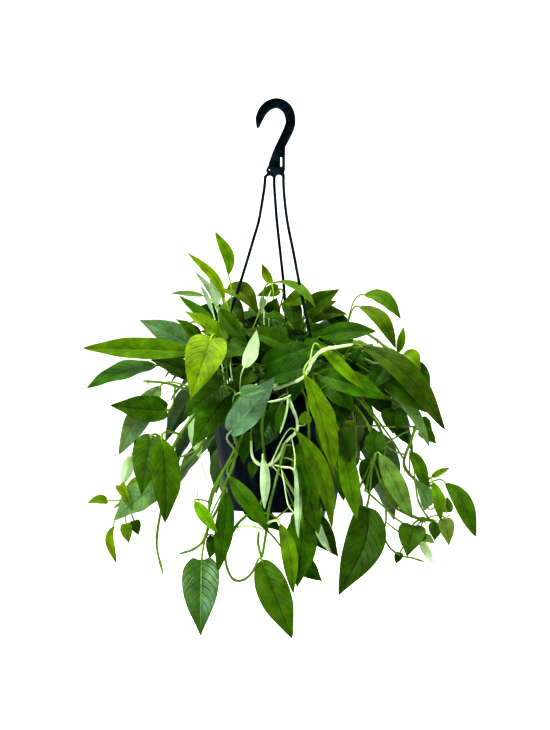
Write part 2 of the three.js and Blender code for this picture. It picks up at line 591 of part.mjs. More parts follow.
// name, angle round the pot, radius of its hole, height over the rim, radius, route, leaves
// a route's row is across, down, depth; a leaf's is the base's across and down, the tip's, their
// depths, the width, the roll from facing the viewer, the arch, the fold in degrees and the tone
const VINES = [
  ["shoot_left_tall", -165, 36, 26, 1.5, [
    [226, 366, -28], [221, 350, -34],
  ], [
    [228.5, 275.3, 215.3, 231.4, -30, -34, 20, -50, 10, 14, "young"],
    [224.5, 300, 187.3, 252.3, -42, -60, 26, -60, 12, 14, "young"],
    [217.4, 307, 209.5, 273, -46, -54, 22, 150, 4, 20, "green"],
    [217, 311, 194.5, 271.3, -52, -66, 20, 140, 5, 25, "green"],
    [214, 316, 199.6, 284.7, -58, -70, 18, 125, 4, 25, "green"],
    [204, 296, 170, 293.5, -4, -20, 20, -65, 3, 15, "blue"],
  ]],
  ["shoot_left_front", -150, 40, 24, 1.5, [
    [231, 368, -62], [224, 350, -76],
  ], [
    [212, 322, 178.5, 295, -74, -68, 34, 25, -3, 20, "young"],
    [199, 341, 174.9, 318.6, -86, -84, 20, 20, 3, 15, "green"],
    [210.7, 338.3, 190.3, 400.5, -128, -172, 44, -5, 8, 10, "young"],
    [222, 341, 217, 322.5, -98, -118, 18, 10, 3, 10, "young"],
    [219, 314, 193.5, 307.8, -22, -30, 26, -45, 8, 12, "blue"],
  ]],
  ["shoot_centre_left", -120, 26, 30, 1.5, [
    [246, 362, -40], [244, 345, -44],
  ], [
    [219, 309, 248, 343, -60, -84, 22, 35, 5, 12, "green"],
    [226.4, 302, 245.3, 324, -22, -30, 26, 20, 4, 12, "green"],
    [226.4, 289.4, 259.4, 315.4, -6, -26, 30, 45, 16, 14, "olive"],
    [236, 322, 228, 349, -72, -84, 20, 0, 3, 12, "green"],
    [250, 347, 219.3, 360, -92, -104, 34, 10, 4, 10, "green"],
  ]],
  ["shoot_centre", 60, 12, 34, 1.5, [
    [268, 360, 6], [269, 340, 0],
  ], [
    [271.5, 283, 261.3, 263.4, 0, -6, 16, -40, -5, 25, "young"],
    [272, 282.5, 315.8, 307.8, -8, -34, 26, 50, 8, 12, "green"],
    [278.5, 289, 256.7, 296, 10, 4, 20, -30, 5, 12, "young"],
    [267, 313, 261, 296, -6, -12, 14, 160, 2, 20, "green"],
    [272, 313, 277, 297.5, -14, -22, 20, 15, 3, 15, "green"],
    [283, 316, 263, 320, -16, -32, 18, 20, 3, 12, "green"],
    [257, 324, 244.5, 320, 14, 8, 16, -40, 3, 12, "blue"],
  ]],
  ["shoot_right_back", 40, 34, 34, 1.5, [
    [300, 358, 24], [303, 338, 22],
  ], [
    [303, 296, 279.5, 305.6, 2, -14, 28, -35, 8, 12, "young"],
    [288.5, 301, 303, 343, -44, -60, 31, 8, 6, 12, "green"],
    [307, 312, 340, 289, 8, -6, 40, 35, 5, 18, "green"],
    [306, 317, 337, 301, 26, 14, 32, 10, 4, 12, "young"],
    [312, 320, 347.9, 314.3, 36, 30, 30, 15, 8, 12, "young"],
    [330, 315, 356, 331, 46, 44, 24, 30, 4, 12, "green"],
    [311, 333, 329.7, 326, -14, -22, 18, 30, 3, 12, "green"],
  ]],
  ["trail_right_top", 4, 44, 20, 1.5, [
    [340, 345, -2], [350, 328, -8], [374, 338, -24], [397, 358, -40],
  ], [
    [364.3, 294.5, 401, 319, -10, -18, 26, 50, 16, 14, "green"],
    [359.2, 306.7, 395.9, 348.6, -24, -38, 28, 50, 16, 14, "green"],
    [398, 353, 403.6, 327.1, -44, -46, 14, 40, 3, 20, "green"],
    [403, 354.7, 420.4, 371, -50, -58, 22, 40, 8, 12, "green"],
    [415, 354, 428.5, 401.5, -26, -36, 34, 30, 12, 12, "green"],
  ]],
  ["trail_right_big", -24, 46, 16, 1.7, [
    [337, 365, -44], [352, 354, -52], [370, 362, -58], [384, 370, -60],
  ], [
    [319.4, 337.3, 376.5, 331.2, -52, -66, 30, 21, 5, 12, "olive"],
    [361, 346.5, 445.4, 430, -74, -100, 36, 12, 16, 12, "green"],
    [372, 374, 428.6, 412.9, -50, -70, 28, 25, 8, 12, "green"],
    [384, 368, 370, 391, -64, -80, 26, -10, 3, 10, "olive"],
    [362, 352, 353.5, 364.4, -92, -100, 18, 0, 3, 15, "olive"],
  ]],
  ["trail_front_pale", -94, 46, 12, 1.8, [
    [275, 389, -98], [290, 383.5, -118], [303.4, 377, -132], [313, 361, -138], [322, 350.5, -138],
    [338, 347, -136], [353, 344.5, -134],
  ], [
    [290, 347, 242.6, 330, -72, -88, 26, -12, 5, 12, "olive"],
    [261, 366, 315.3, 345.2, -92, -106, 30, 10, 6, 12, "olive"],
    [262, 381, 326, 363, -102, -112, 32, 6, 6, 12, "olive"],
    [304.6, 375, 333.6, 477.3, -140, -172, 34, -28, 6, 16, "young"],
    [318, 344.5, 365, 390.4, -124, -132, 18, 30, 8, 20, "young"],
    [321, 356, 361, 390, -106, -114, 20, 30, 4, 15, "green"],
  ]],
  ["trail_silver", -121, 50, 10, 1.6, [
    [243, 392, -104], [235, 402, -114], [231, 424, -118], [237, 446, -116], [234, 462, -116],
    [228, 478, -120],
  ], [
    [244, 367.5, 256.7, 329.5, -116, -122, 20, 165, 4, 12, "green"],
    [231, 396.5, 270, 389.4, -158, -172, 24, 25, 3, 35, "blue"],
    [229.5, 432.7, 275.2, 376.7, -140, -164, 40, 5, 6, 10, "blue"],
    [222, 387, 181.6, 420, -122, -146, 36, 0, 6, 10, "green"],
    [245, 433, 243.7, 464.8, -104, -116, 20, 0, 3, 12, "green"],
    [229, 476.4, 269, 533.7, -136, -160, 30, -10, 5, 12, "green"],
  ]],
  ["trail_left_upper", 178, 48, 12, 1.5, [
    [205, 372, 8], [194, 360, -8], [184, 357, -20],
  ], [
    [192, 347, 138.8, 319.9, -18, -30, 32, -15, 5, 10, "blue"],
    [196, 352, 82.1, 348.2, -62, -86, 34, -17, 4, 10, "young"],
    [156.6, 365.3, 86.2, 388.6, -48, -70, 34, 12, 6, 10, "blue"],
    [186, 372, 150, 360, -34, -44, 28, -10, 4, 10, "green"],
  ]],
  ["trail_left_mid", -153, 50, 12, 1.4, [
    [206, 391, -52], [186, 389, -70], [165, 383, -78], [143, 381, -82],
  ], [
    [160.7, 385.7, 118.7, 455, -70, -86, 32, -30, 12, 10, "blue"],
    [166.8, 410.2, 109.7, 405.3, -88, -112, 36, 5, 5, 14, "green"],
    [193, 408, 199.5, 458.8, -58, -62, 24, 175, 4, 12, "green"],
  ]],
  ["trail_left_long", -140, 50, 12, 1.7, [
    [214, 394, -84], [197, 412, -100], [183, 430, -104], [177, 440, -102], [166, 460, -98],
    [150, 480, -96], [132, 494, -96], [114, 508, -96],
  ], [
    [151.5, 436.8, 141.3, 496, -122, -146, 34, 0, 6, 10, "green"],
    [161.7, 439.4, 164.8, 523, -116, -130, 34, -20, 6, 12, "green"],
    [141, 439, 137, 453, -84, -88, 14, -20, 2, 12, "green"],
    [131, 456, 123, 485, -76, -80, 20, 170, 3, 12, "green"],
    [156, 487, 114.5, 521, -106, -122, 34, 10, 4, 14, "green"],
    [120, 486, 131, 507, -110, -120, 18, 60, 4, 30, "green"],
    [134, 521, 138.5, 535.3, -88, -92, 16, 10, 2, 12, "blue"],
    [126, 524, 129, 543.5, -94, -98, 14, 10, 2, 15, "green"],
    [113.8, 526, 115.8, 563.9, -98, -108, 16, -40, 6, 12, "green"],
    [106.6, 500.6, 86.7, 503.7, -100, -106, 16, 0, 4, 12, "green"],
  ]],
  ["trail_left_bare", -130, 52, 12, 1.5, [
    [224, 400, -98], [207, 432, -88], [197.5, 451.6, -84], [178, 470, -84], [166, 492, -84],
    [161.7, 507, -84], [156.6, 543, -88], [162.8, 574, -90],
  ], [
    [218, 374, 187, 402, -106, -124, 26, 0, 4, 10, "green"],
    [229, 394, 191.8, 448, -112, -132, 36, -10, 6, 10, "green"],
  ]],
  ["trail_front_left", -112, 52, 10, 1.5, [
    [254, 400, -110], [246, 425, -112], [240, 440, -112], [226, 466, -110], [212, 492, -112],
    [209, 512, -114], [208, 528, -116], [202.5, 542, -116], [192, 550, -114], [179, 554, -114],
  ], [
    [227, 491, 218, 572.4, -128, -140, 26, -10, 4, 12, "green"],
    [195, 502, 217.4, 533.2, -128, -140, 20, 20, 3, 25, "young"],
    [214, 537, 209.3, 559.2, -110, -116, 16, -10, 2, 12, "green"],
    [201.6, 560.2, 200.6, 636.7, -124, -150, 42, 6, 5, 12, "blue"],
  ]],
  ["trail_front_loop", -103, 52, 10, 1.6, [
    [266, 402, -112], [262, 425, -114], [264, 452, -112], [266, 480, -112], [260, 505, -116],
    [246, 516, -122], [236, 526.5, -126], [227, 545, -128], [225.6, 561, -128], [231, 577, -126],
    [239, 581, -124], [248, 577, -120], [256.7, 566, -116],
  ], [
    [272, 417, 255, 452, -94, -104, 34, -15, 4, 10, "blue"],
    [262.5, 457, 264.6, 509.5, -130, -136, 20, 172, 3, 15, "green"],
    [253, 462, 252, 479.6, -112, -116, 12, 0, 2, 12, "green"],
    [279.7, 523.5, 293.5, 593.9, -124, -142, 26, 15, 5, 12, "young"],
    [261.8, 560.2, 292.4, 639.3, -130, -158, 38, 8, 5, 12, "green"],
  ]],
  ["trail_front_u", -85, 50, 10, 1.7, [
    [291, 404, -108], [297, 420, -118], [296, 432, -122], [286, 442, -124], [281, 453, -124],
    [275, 461, -124], [266, 466, -126], [257, 463, -126], [252, 455, -124], [251, 440, -120],
  ], [
    [277, 402, 274, 438, -100, -106, 22, -20, 3, 12, "green"],
    [290, 447, 276, 468, -104, -108, 24, 0, 3, 12, "green"],
    [284, 401, 277, 439.4, -130, -138, 30, 50, 6, 40, "green"],
    [305, 424, 305, 411, -124, -118, 14, 0, 3, 10, "young"],
    [295.6, 431, 332, 528.4, -142, -174, 38, -25, 8, 14, "young"],
    [294.7, 465.7, 299, 539, -138, -150, 28, 55, 8, 40, "green"],
    [296, 514, 295, 531, -128, -132, 10, 55, 2, 30, "green"],
  ]],
  ["trail_bottom", -76, 50, 10, 1.5, [
    [307, 404, -104], [309, 440, -104], [307, 480, -102], [304, 505, -100], [301, 530, -98],
    [299, 548, -98],
  ], [
    [300, 442, 318, 510, -108, -120, 30, 20, 5, 10, "green"],
    [305, 478, 318.6, 534.6, -114, -124, 24, 10, 4, 10, "green"],
    [303, 518, 338.7, 557.4, -90, -102, 34, 0, 4, 10, "green"],
    [316.8, 515, 332, 554.3, -112, -120, 16, 150, 3, 15, "green"],
    [302, 520, 297, 588, -106, -114, 36, -10, 4, 10, "green"],
    [300, 560, 322.6, 581.6, -98, -102, 22, 10, -5, 12, "green"],
  ]],
  ["trail_front_right", -67, 50, 10, 1.6, [
    [325, 402, -98], [332, 418, -108], [334, 440, -110], [334, 462, -104],
  ], [
    [316, 374, 387, 399.5, -106, -122, 36, 10, 8, 10, "green"],
    [331, 386, 353, 412, -88, -98, 30, 5, 5, 12, "green"],
    [344, 396, 337, 429, -96, -102, 28, 0, 5, 12, "green"],
    [330, 420, 322, 455, -96, -102, 28, -5, 5, 12, "green"],
    [347, 430, 355, 420.2, -120, -126, 14, 0, 2, 25, "young"],
    [338, 430, 350, 462, -94, -100, 30, 0, 4, 10, "green"],
    [341.5, 442.5, 356.8, 519.3, -124, -142, 30, 10, 5, 16, "young"],
    [337, 470, 343.8, 501.4, -92, -96, 14, 0, 3, 12, "green"],
  ]],
  ["trail_right_drop", -45, 50, 12, 1.7, [
    [346, 398, -76], [362, 415, -86], [372, 436, -92], [375, 455, -94], [369, 474, -98],
    [365, 492, -104],
  ], [
    [374.6, 453, 373.8, 427.8, -98, -88, 26, 0, 5, 12, "green"],
    [372, 460, 369, 494, -82, -86, 28, 0, 4, 10, "green"],
    [379.9, 454, 412.7, 519, -106, -126, 32, 15, 6, 12, "green"],
    [366.8, 507, 338.7, 595.8, -120, -152, 46, -8, 6, 12, "green"],
  ]],
  ["trail_right_low", -35, 52, 12, 1.5, [
    [354, 396, -60], [372, 416, -70], [384, 440, -74], [383, 470, -76], [388, 500, -80],
    [411, 516, -86], [436, 522, -90],
  ], [
    [388, 478, 397.3, 511.2, -90, -98, 24, 0, 4, 12, "green"],
    [413, 525.7, 407, 557, -102, -122, 34, 0, 4, 12, "blue"],
    [423, 538, 434.5, 543.5, -112, -116, 12, 0, 2, 15, "young"],
    [421, 541, 433.5, 563.5, -108, -118, 18, 0, 2, 12, "young"],
    [436, 523, 434.6, 541, -98, -104, 16, 0, 2, 12, "green"],
    [445, 519, 449, 546, -94, -102, 22, 0, 3, 12, "green"],
  ]],
  ["trail_right_long", -12, 52, 14, 1.6, [
    [352, 380, -26], [375, 390, -36], [398, 404, -44], [416, 419, -50], [412, 438, -52],
    [404, 464, -54], [418, 482, -58], [434, 487, -62], [444, 498, -64], [443, 512, -66],
  ], [
    [384.7, 389.4, 429.7, 447.4, -96, -116, 20, 30, 6, 16, "green"],
    [394, 409, 393, 434, -54, -66, 30, 0, 4, 10, "olive"],
    [418, 423, 432.2, 431.6, -36, -38, 20, 10, 3, 12, "green"],
    [421, 431, 436.3, 444, -42, -46, 16, 10, 3, 15, "green"],
    [397, 429, 408.9, 444.9, -34, -38, 14, 0, 2, 12, "green"],
    [410.7, 451.9, 430, 492, -64, -78, 24, 35, 8, 12, "green"],
    [431.7, 477.2, 450, 468, -68, -74, 10, 20, 3, 20, "young"],
    [428, 507, 414.3, 480, -86, -92, 26, 10, 4, 10, "green"],
    [432.5, 482, 441, 521, -72, -82, 26, 10, 4, 12, "green"],
    [447, 512, 447.5, 497, -58, -54, 14, 0, 2, 10, "green"],
    [445.4, 483, 476.5, 537.3, -80, -98, 34, 25, 10, 12, "green"],
  ]],
  ["shoot_inner_left", -100, 14, 30, 1.5, [
    [250, 372, -52], [247, 358, -58],
  ], [
    [236, 353, 258, 338, -52, -60, 28, 0, 4, 12, "olive"],
    [252, 372, 229, 392, -84, -92, 30, 0, 5, 12, "green"],
    [262, 371, 240, 399, -88, -98, 30, 0, 5, 12, "green"],
    [222, 370, 204, 398, -84, -96, 28, 0, 5, 12, "green"],
    [270, 350, 258, 322, -20, -34, 28, 10, 4, 12, "green"],
  ]],
  ["shoot_inner_right", -30, 14, 30, 1.5, [
    [303, 372, -40], [306, 356, -44],
  ], [
    [290, 372, 266, 396, -84, -92, 30, 0, 5, 12, "green"],
    [300, 378, 291, 409, -88, -96, 28, 10, 5, 12, "green"],
    [312, 370, 340, 392, -78, -90, 30, 10, 5, 12, "green"],
    [302, 352, 332, 352, -62, -74, 30, 10, 5, 12, "olive"],
    [322, 362, 352, 374, -68, -80, 28, 15, 5, 12, "green"],
    [334, 348, 360, 372, -36, -48, 30, 10, 4, 12, "olive"],
    [283, 338, 268, 352, -56, -66, 28, 0, 4, 12, "olive"],
  ]],
];

// Stems at the back, which the picture doesn't show: the angle round the pot, the number of
// joints with a leaf, the first leaf's length and how far the stem sways round the pot.
const BACK = [
  ["trail_back_right", 38, 6, 100, 6],
  ["trail_back_middle_right", 62, 6, 96, 4],
  ["trail_back_middle", 84, 6, 100, -4],
  ["trail_back_middle_left", 106, 6, 98, 4],
  ["trail_back_left", 128, 6, 92, -4],
];
const BACK_HOLE = 50;
const BACK_THICK = 1.6;
const BACK_OVER = 12;
const BACK_REACH = 98;
const BACK_BULGE = 22;
const JOINT_DROP = 17;
// Upright stems behind the crown: the angle round the pot, the radius of the hole, the number of
// leaves and the first leaf's length. Their route is how far out, how far round and how high.
const CROWN = [
  ["crown_back_right", 36, 44, 6, 84],
  ["crown_back_middle", 92, 34, 7, 84],
  ["crown_back_left", 138, 40, 6, 86],
];
const CROWN_THICK = 1.5;
const CROWN_ROUTE = [[6, 0, 14], [12, 4, 34], [14, 8, 52]];

// Draws that any language repeats: a Park-Miller chain with its own seed.
function draws(seed) {
  let state = seed;
  return (low, high) => {
    state = (state * 16807) % 2147483647;
    return low + (high - low) * (state / 2147483647);
  };
}

function backRoute(angle, joints, sway) {
  const points = [];
  for (let i = 0; i <= joints; i++) {
    const out = BACK_REACH + BACK_BULGE * Math.sin(Math.min(i / 4, 1) * 1.4);
    points.push(roundPot(out, angle + (sway * i) / joints, RIM_TOP + 4 - JOINT_DROP * i));
  }
  return points;
}

function outwards(angle) {
  return new THREE.Vector3(Math.cos(radians(angle)), Math.sin(radians(angle)), 0);
}

function drawnTone(draw) {
  const names = ["green", "blue", "green", "olive"];
  return names[Math.floor(draw(0, names.length))];
}

// Leaves along a trailing stem, alternately to its left and right and hanging down.
function backLeaves(angle, joints, length, sway, index) {
  const draw = draws(1009 + 97 * index);
  const route = backRoute(angle, joints, sway);
  return route.map((joint, i) => {
    const out = outwards(angle + (sway * i) / joints);
    const round = new THREE.Vector3(-out.y, out.x, 0).multiplyScalar(i % 2 ? 1 : -1);
    const long = length * (1 - 0.35 * (i / joints)) * draw(0.9, 1.1);
    const base = joint.clone().addScaledVector(UP, draw(14, 30) - (i === joints ? 18 : 0));
    base.addScaledVector(out, draw(16, 26)).addScaledVector(round, draw(8, 16));
    const tip = base.clone().addScaledVector(out, long * draw(0.12, 0.37));
    tip.addScaledVector(round, long * draw(0.15, 0.6));
    tip.z -= Math.sqrt(Math.max(long ** 2 - base.distanceToSquared(tip), 0));
    return {
      base, tip, out,
      width: long * draw(0.36, 0.44),
      roll: draw(-15, 15),
      arch: long * draw(0.05, 0.1),
      fold: draw(8, 18),
      tone: drawnTone(draw),
    };
  });
}

// Leaves round an upright stem, alternately to its left and right and leaning outwards.
function crownLeaves(angle, places, count, length, index) {
  const draw = draws(4001 + 89 * index);
  const rows = [];
  for (let i = 0; i < count; i++) {
    const out = outwards(angle + (i % 2 ? 1 : -1) * draw(20, 75));
    const long = length * draw(0.78, 1.08);
    const base = places[places.length - 1].clone().lerp(places[3], (0.8 * i) / count);
    base.addScaledVector(out, draw(20, 32)).addScaledVector(UP, draw(12, 20) - 6 * i);
    const tip = base.clone().addScaledVector(out, 0.8 * long);
    tip.z -= long * draw(0.35, 0.7);
    rows.push({
      base, tip,
      out: out.multiplyScalar(0.35).addScaledVector(UP, 0.4),
      width: long * draw(0.36, 0.44),
      roll: draw(-20, 20),
      arch: long * draw(0.1, 0.18),
      fold: draw(10, 18),
      tone: drawnTone(draw),
    });
  }
  return rows;
}

// What is already placed: solids with their boxes, by the node that they belong to.
const placed = [];

function place(node, solid, part) {
  placed.push({ node, solid, part, box: solid.boundingBox() });
}

function boxesMeet(a, b) {
  return [0, 1, 2].every((k) => a.min[k] <= b.max[k] && b.min[k] <= a.max[k]);
}

// Whether a guard meets anything placed. A leaf may touch its own stem and petioles.
function meets(node, whole, blade) {
  const wholeBox = whole.boundingBox();
  return placed.some((other) => {
    if (!boxesMeet(wholeBox, other.box)) return false;
    const mine = other.node === node && other.part === "stem";
    return !(mine ? blade : whole).intersect(other.solid).isEmpty();
  });
}

function tableLeaf(row, moves) {
  const [baseAcross, baseDown, tipAcross, tipDown, baseDepth, tipDepth] = row;
  const [width, roll, arch, fold] = row.slice(6);
  const base = seen(baseAcross, baseDown, baseDepth + moves[0]);
  return {
    base,
    tip: seen(tipAcross, tipDown, tipDepth + moves[1]).lerp(base, 1 - moves[2]),
    facing: new THREE.Vector3(0, -0.8, 0.6),
    width: width * moves[2],
    roll, arch, fold,
  };
}

function backLeaf(row, moves) {
  const { out, roll, arch, fold } = row;
  const base = row.base.clone().addScaledVector(out, -moves[0]);
  return {
    base,
    tip: row.tip.clone().addScaledVector(out, -moves[1]).lerp(base, 1 - moves[2]),
    facing: out.clone().multiplyScalar(0.8).add(new THREE.Vector3(0, 0, 0.6)),
    width: row.width * moves[2],
    roll, arch, fold,
  };
}

// A stem with its leaves, each at the first of its places that is free. A leaf with none is left out.
function leafyStem(stem) {
  let solid = stem.solid;
  for (const row of stem.rows) {
    const free = MOVES.map((moves) => rooted(stem.leafOf(row, moves), stem.places)).find(
      (leaf) => !meets(stem.name, leafSolid(leaf, GUARD), bladeSolid(leaf, GUARD)),
    );
    if (!free) continue;
    const made = leafSolid(free, 0);
    place(stem.name, bladeSolid(free, 0), "blade");
    place(stem.name, made, "stem");
    solid = solid.add(made);
  }
  return solid;
}

function rooted(leaf, places) {
  leaf.root = petioleRoot(places, leaf.base, leaf.base.distanceTo(leaf.tip));
  return leaf;
}

// The places of a stem that leaves its hole upright and then follows the given points.
function routed(radius, angle, points) {
  const surface = mixHeight(radius);
  const ends = [roundPot(radius, angle, surface - STEM_DEPTH), roundPot(radius, angle, surface + STEM_RISE)];
  return stemPlaces(new THREE.CatmullRomCurve3([...ends, ...points], false, "catmullrom", 0.5));
}

// A stem that the picture shows: over the rim or straight up, then where it is seen.
function tableStem([name, angle, radius, over, thick, route, rows]) {
  const points = route.map((spot) => seen(...spot));
  const reach = Math.hypot(points[0].x - POT_X, points[0].y);
  const between = Math.max(radius, (radius + reach) / 2);
  const places = routed(radius, angle, [roundPot(between, angle, RIM_TOP + over), ...points]);
  return { name, angle, radius, thick, places, rows, leafOf: tableLeaf, tone: rows[0][10] };
}

function backStem([name, angle, joints, length, sway], index) {
  const over = roundPot((BACK_HOLE + BACK_REACH) / 2 + 2, angle, RIM_TOP + BACK_OVER);
  const places = routed(BACK_HOLE, angle, [over, ...backRoute(angle, joints, sway)]);
  const rows = backLeaves(angle, joints, length, sway, index);
  const [radius, thick] = [BACK_HOLE, BACK_THICK];
  return { name, angle, radius, thick, places, rows, leafOf: backLeaf, tone: rows[0].tone };
}

function crownStem([name, angle, radius, count, length], index) {
  const points = CROWN_ROUTE.map(([out, turn, rise]) => roundPot(radius + out, angle + turn, RIM_TOP + rise));
  const places = routed(radius, angle, points);
  const rows = crownLeaves(angle, places, count, length, index);
  return { name, angle, radius, thick: CROWN_THICK, places, rows, leafOf: backLeaf, tone: rows[0].tone };
}

const part = new THREE.Group();
const black = { color: 0x11161c, metalness: 0 };
const hangerSolid = hanger();
const potSolid = pot();
place("hanger", hangerSolid, "hanger");
place("pot", potSolid, "pot");

const stems = [...VINES.map(tableStem), ...CROWN.map(crownStem), ...BACK.map(backStem)];
const mix = pottingMix(stems);
place("potting_mix", mix, "mix");
for (const stem of stems) {
  stem.solid = stemSolid(stem.places, stem.thick);
  place(stem.name, stem.solid, "stem");
}

part.add(meshOf("hanger", hangerSolid, new THREE.MeshStandardMaterial({ ...black, roughness: 0.4 })));
part.add(meshOf("pot", potSolid, new THREE.MeshStandardMaterial({ ...black, roughness: 0.3 })));
part.add(meshOf("potting_mix", mix, new THREE.MeshStandardMaterial({ color: 0x2a1c12, roughness: 1 })));
for (const stem of stems) {
  const leafy = new THREE.MeshStandardMaterial({ color: TONES[stem.tone], roughness: 0.45 });
  part.add(meshOf(stem.name, leafyStem(stem), leafy));
}

export default part;
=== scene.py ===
"""A potted cebu blue pothos: leafy stems that stand up and trail over the rim of a black nursery
pot, which hangs from a moulded three-strand hanger. Shapes are worked out in millimetres, with +Z
up and +Y away from the viewer, and every mesh is made in metres."""
import math
import random

import bmesh
import bpy
import numpy as np
from mathutils import Euler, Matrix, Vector, noise


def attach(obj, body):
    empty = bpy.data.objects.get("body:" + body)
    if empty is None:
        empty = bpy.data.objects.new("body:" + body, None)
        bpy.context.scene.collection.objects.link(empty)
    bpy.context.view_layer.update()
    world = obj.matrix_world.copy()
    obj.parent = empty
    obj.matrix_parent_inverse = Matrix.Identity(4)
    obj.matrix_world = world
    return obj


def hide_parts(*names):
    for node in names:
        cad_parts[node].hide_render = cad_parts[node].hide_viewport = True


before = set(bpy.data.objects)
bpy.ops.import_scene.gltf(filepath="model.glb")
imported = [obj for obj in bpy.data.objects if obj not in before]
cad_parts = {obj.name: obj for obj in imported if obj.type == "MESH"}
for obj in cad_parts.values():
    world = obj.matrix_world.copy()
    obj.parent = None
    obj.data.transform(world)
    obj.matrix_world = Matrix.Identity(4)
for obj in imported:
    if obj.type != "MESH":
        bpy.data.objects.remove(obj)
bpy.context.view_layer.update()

MM = 0.001

# How the plant was measured: across, down and depth, as in the solids
UNIT = 1.15
HOOK_ACROSS = 276
HOOK_DOWN = 108
EYE = np.array([-1.15, -2200.0, -295.6])
EYE_DISTANCE = 2200
LENS = 94.3
SENSOR = 36

# Pot and potting mix
POT_X = 6
RIM_TOP = -330
POT_HEIGHT = 131
RIM_RADIUS = 87.5
RIM_BAND = 13
WALL_TOP_RADIUS = 84
BASE_RADIUS = 62
WALL = 2.2
FLOOR = 2.6
FOOT = 2.5
FOOT_WIDTH = 7
DRAIN_RADIUS = 4.5
DRAIN_CIRCLE = 44
DRAINS = 6
ROUNDING = 1
CORNER = 1.2
RIM_FLARE = 0.5
POT_SIDES = 168
MIX_EDGE = RIM_TOP - 16
MIX_DOME = 5
MIX_CLEARANCE = 0.8
MIX_SIDES = 150
MIX_RINGS = 44
CRUMB_HEIGHT = 1.6
CRUMB_SCALE = 0.11
CRUMB_SUNK = 0.6
GRAINS = 260
GRAIN_CIRCLE = 79
STEM_DEPTH = 20
STEM_RISE = 3

# Hanger
HOOK_THICK = 7
WEB_THICK = 2.4
PLATE_EDGE_THICK = 4.9
FLANGE = 1.5
FLANGE_SLOPE = 0.35
HOOK_EDGE = 0.45
HOOK_EDGE_MIDDLE = 0.13
RIB = 1.1
RIB_SUNK = 0.12
RIB_CROWN = 0.1
RIB_START = 0.006
RIB_END = 0.0815
HOLLOW_START = (0.05, 0.075)
HOLLOW_END = (0.895, 0.92)
POCKETS = 10
POCKET_SPACES = POCKETS + 1.4
STRAND_RADIUS = 1.6
STRAND_BOW = 1.08
STRAND_FALL = 6
STRAND_STEP = 3
EAR_ANGLES = [193, -57, 79]
EAR_CIRCLE = 93
EAR_WIDTH = 11
EAR_THICK = 3.5
EAR_TOP = RIM_TOP - 3
EAR_SUNK = 2
EAR_END = 5
EAR_CORNER = 3
EAR_BEVEL = 0.5
BARB_RADIUS = 3
BARB_TIP_RADIUS = 1.3
BARB_LENGTH = 5.5
GAP = 0.3

# Leaves and stems
LOBE = 0.05
PETIOLE_SHARE = 0.42
SHORTEST_PETIOLE = 12
LONGEST_PETIOLE = 44
STEM_STEP = 27
STEM_TAPER = 0.15
STEM_DETAIL = 2.5
JOINT_SWELL = 0.4
JOINT_WIDTH = 2.4
THREAD_WIDER = 1.2
THREAD_JOINT = 11
PETIOLE_POINTS = 14
ROOT_CHANCE = 0.45
SIZES = [1, 0.82, 0.66]
DEPTHS = [
    [0, 0], [0, -7], [0, 7], [-6, -6], [6, 6], [-6, -15], [6, 15], [-13, -13], [13, 13],
    [-13, -24], [13, 24], [-22, -22], [22, 22], [-24, -36], [24, 36], [-34, -34], [34, 34],
    [-46, -46], [46, 46], [-60, -60], [60, 60],
]
MOVES = [(*depths, size) for size in SIZES for depths in DEPTHS]
TIP_MATCH = 0.4
BLADE_STEP = 2.2
BLADE_COLUMN = 5
USUAL_WIDTH = 36
MIDRIB_WIDTH = 1.2
VEINS = 10
VEIN_LEAN = 0.16
VEIN_CURVE = 0.10
VEIN_SHIFT = 0.35
VEIN_SHARPNESS = 18.0
MOTTLE_SCALE = 70.0
PATCH_SCALE = 24.0
PORE_SCALE = 900.0

# The linear colour of each tone that a leaf can have. Tones are also picked leaf by leaf, lighter for
# some leaves that lie in shade and darker for some strongly lit ones: painted light and painted shade.
TONES = {
    "bright": (0.106, 0.180, 0.001),
    "lime": (0.090, 0.155, 0.001),
    "young": (0.066, 0.118, 0.001),
    "grass": (0.046, 0.102, 0.001),
    "green": (0.035, 0.085, 0.001),
    "moss": (0.036, 0.060, 0.001),
    "deep": (0.038, 0.105, 0.006),
    "olive": (0.024, 0.061, 0.001),
    "soft": (0.080, 0.120, 0.022),
    "mist": (0.112, 0.190, 0.062),
    "sage": (0.073, 0.122, 0.060),
    "frost": (0.105, 0.180, 0.055),
    "blue": (0.020, 0.064, 0.004),
}
# The colour of a silver leaf's pale patches: its own silvery colour and painted sheen.
SILVER_PATCH = (0.080, 0.155, 0.085)
# How far a blade is quilted between its veins, and one of some tones
PUFF = 0.55
PUFFS = {"blue": 1.0, "deep": 1.3, "sage": 1.3, "frost": 1.0, "bright": 0.3}
SILVERY = ("blue", "sage", "frost")
UNDER_PALE = (0.32, 0.40, 0.28)
# How much of it every underside has, and how much more a leaf that is turned over: partly the
# underside's own paleness and partly painted light for the light that shines through it from behind
UNDER_SHARE = 0.2
OVER_SHARE = 0.62
MIDRIB_PALE = (0.15, 0.26, 0.06)
STEM_COLOURS = {"pale": np.array([0.33, 0.43, 0.23]), "green": np.array([0.085, 0.155, 0.012])}
ROOT_BROWN = (0.09, 0.06, 0.03)
# The stems that the picture shows pale
PALE_STEMS = {"trail_front_pale", "trail_front_u"}

UP = np.array([0.0, 0.0, 1.0])
# A direction that no tube starts along, how far its ends stand out and the length of its map
ASKEW = np.array([0.35, -0.8, 0.1])
TUBE_END = 0.5
TUBE_MAP = 10
# The edges of the plastic pieces and of the mix that are sharper than this stay sharp, in degrees
CREASE = 38
MIX_CREASE = 60


# Places and curves

def unit(vector):
    return vector / np.linalg.norm(vector, axis=-1, keepdims=True)


def smooth(low, high, value):
    share = np.clip((value - low) / (high - low), 0, 1)
    return share * share * (3 - 2 * share)


def on_plane(across, down):
    """How far to the right and up a place of the picture is in the plane of the hook."""
    return (across - HOOK_ACROSS) * UNIT, (HOOK_DOWN - down) * UNIT


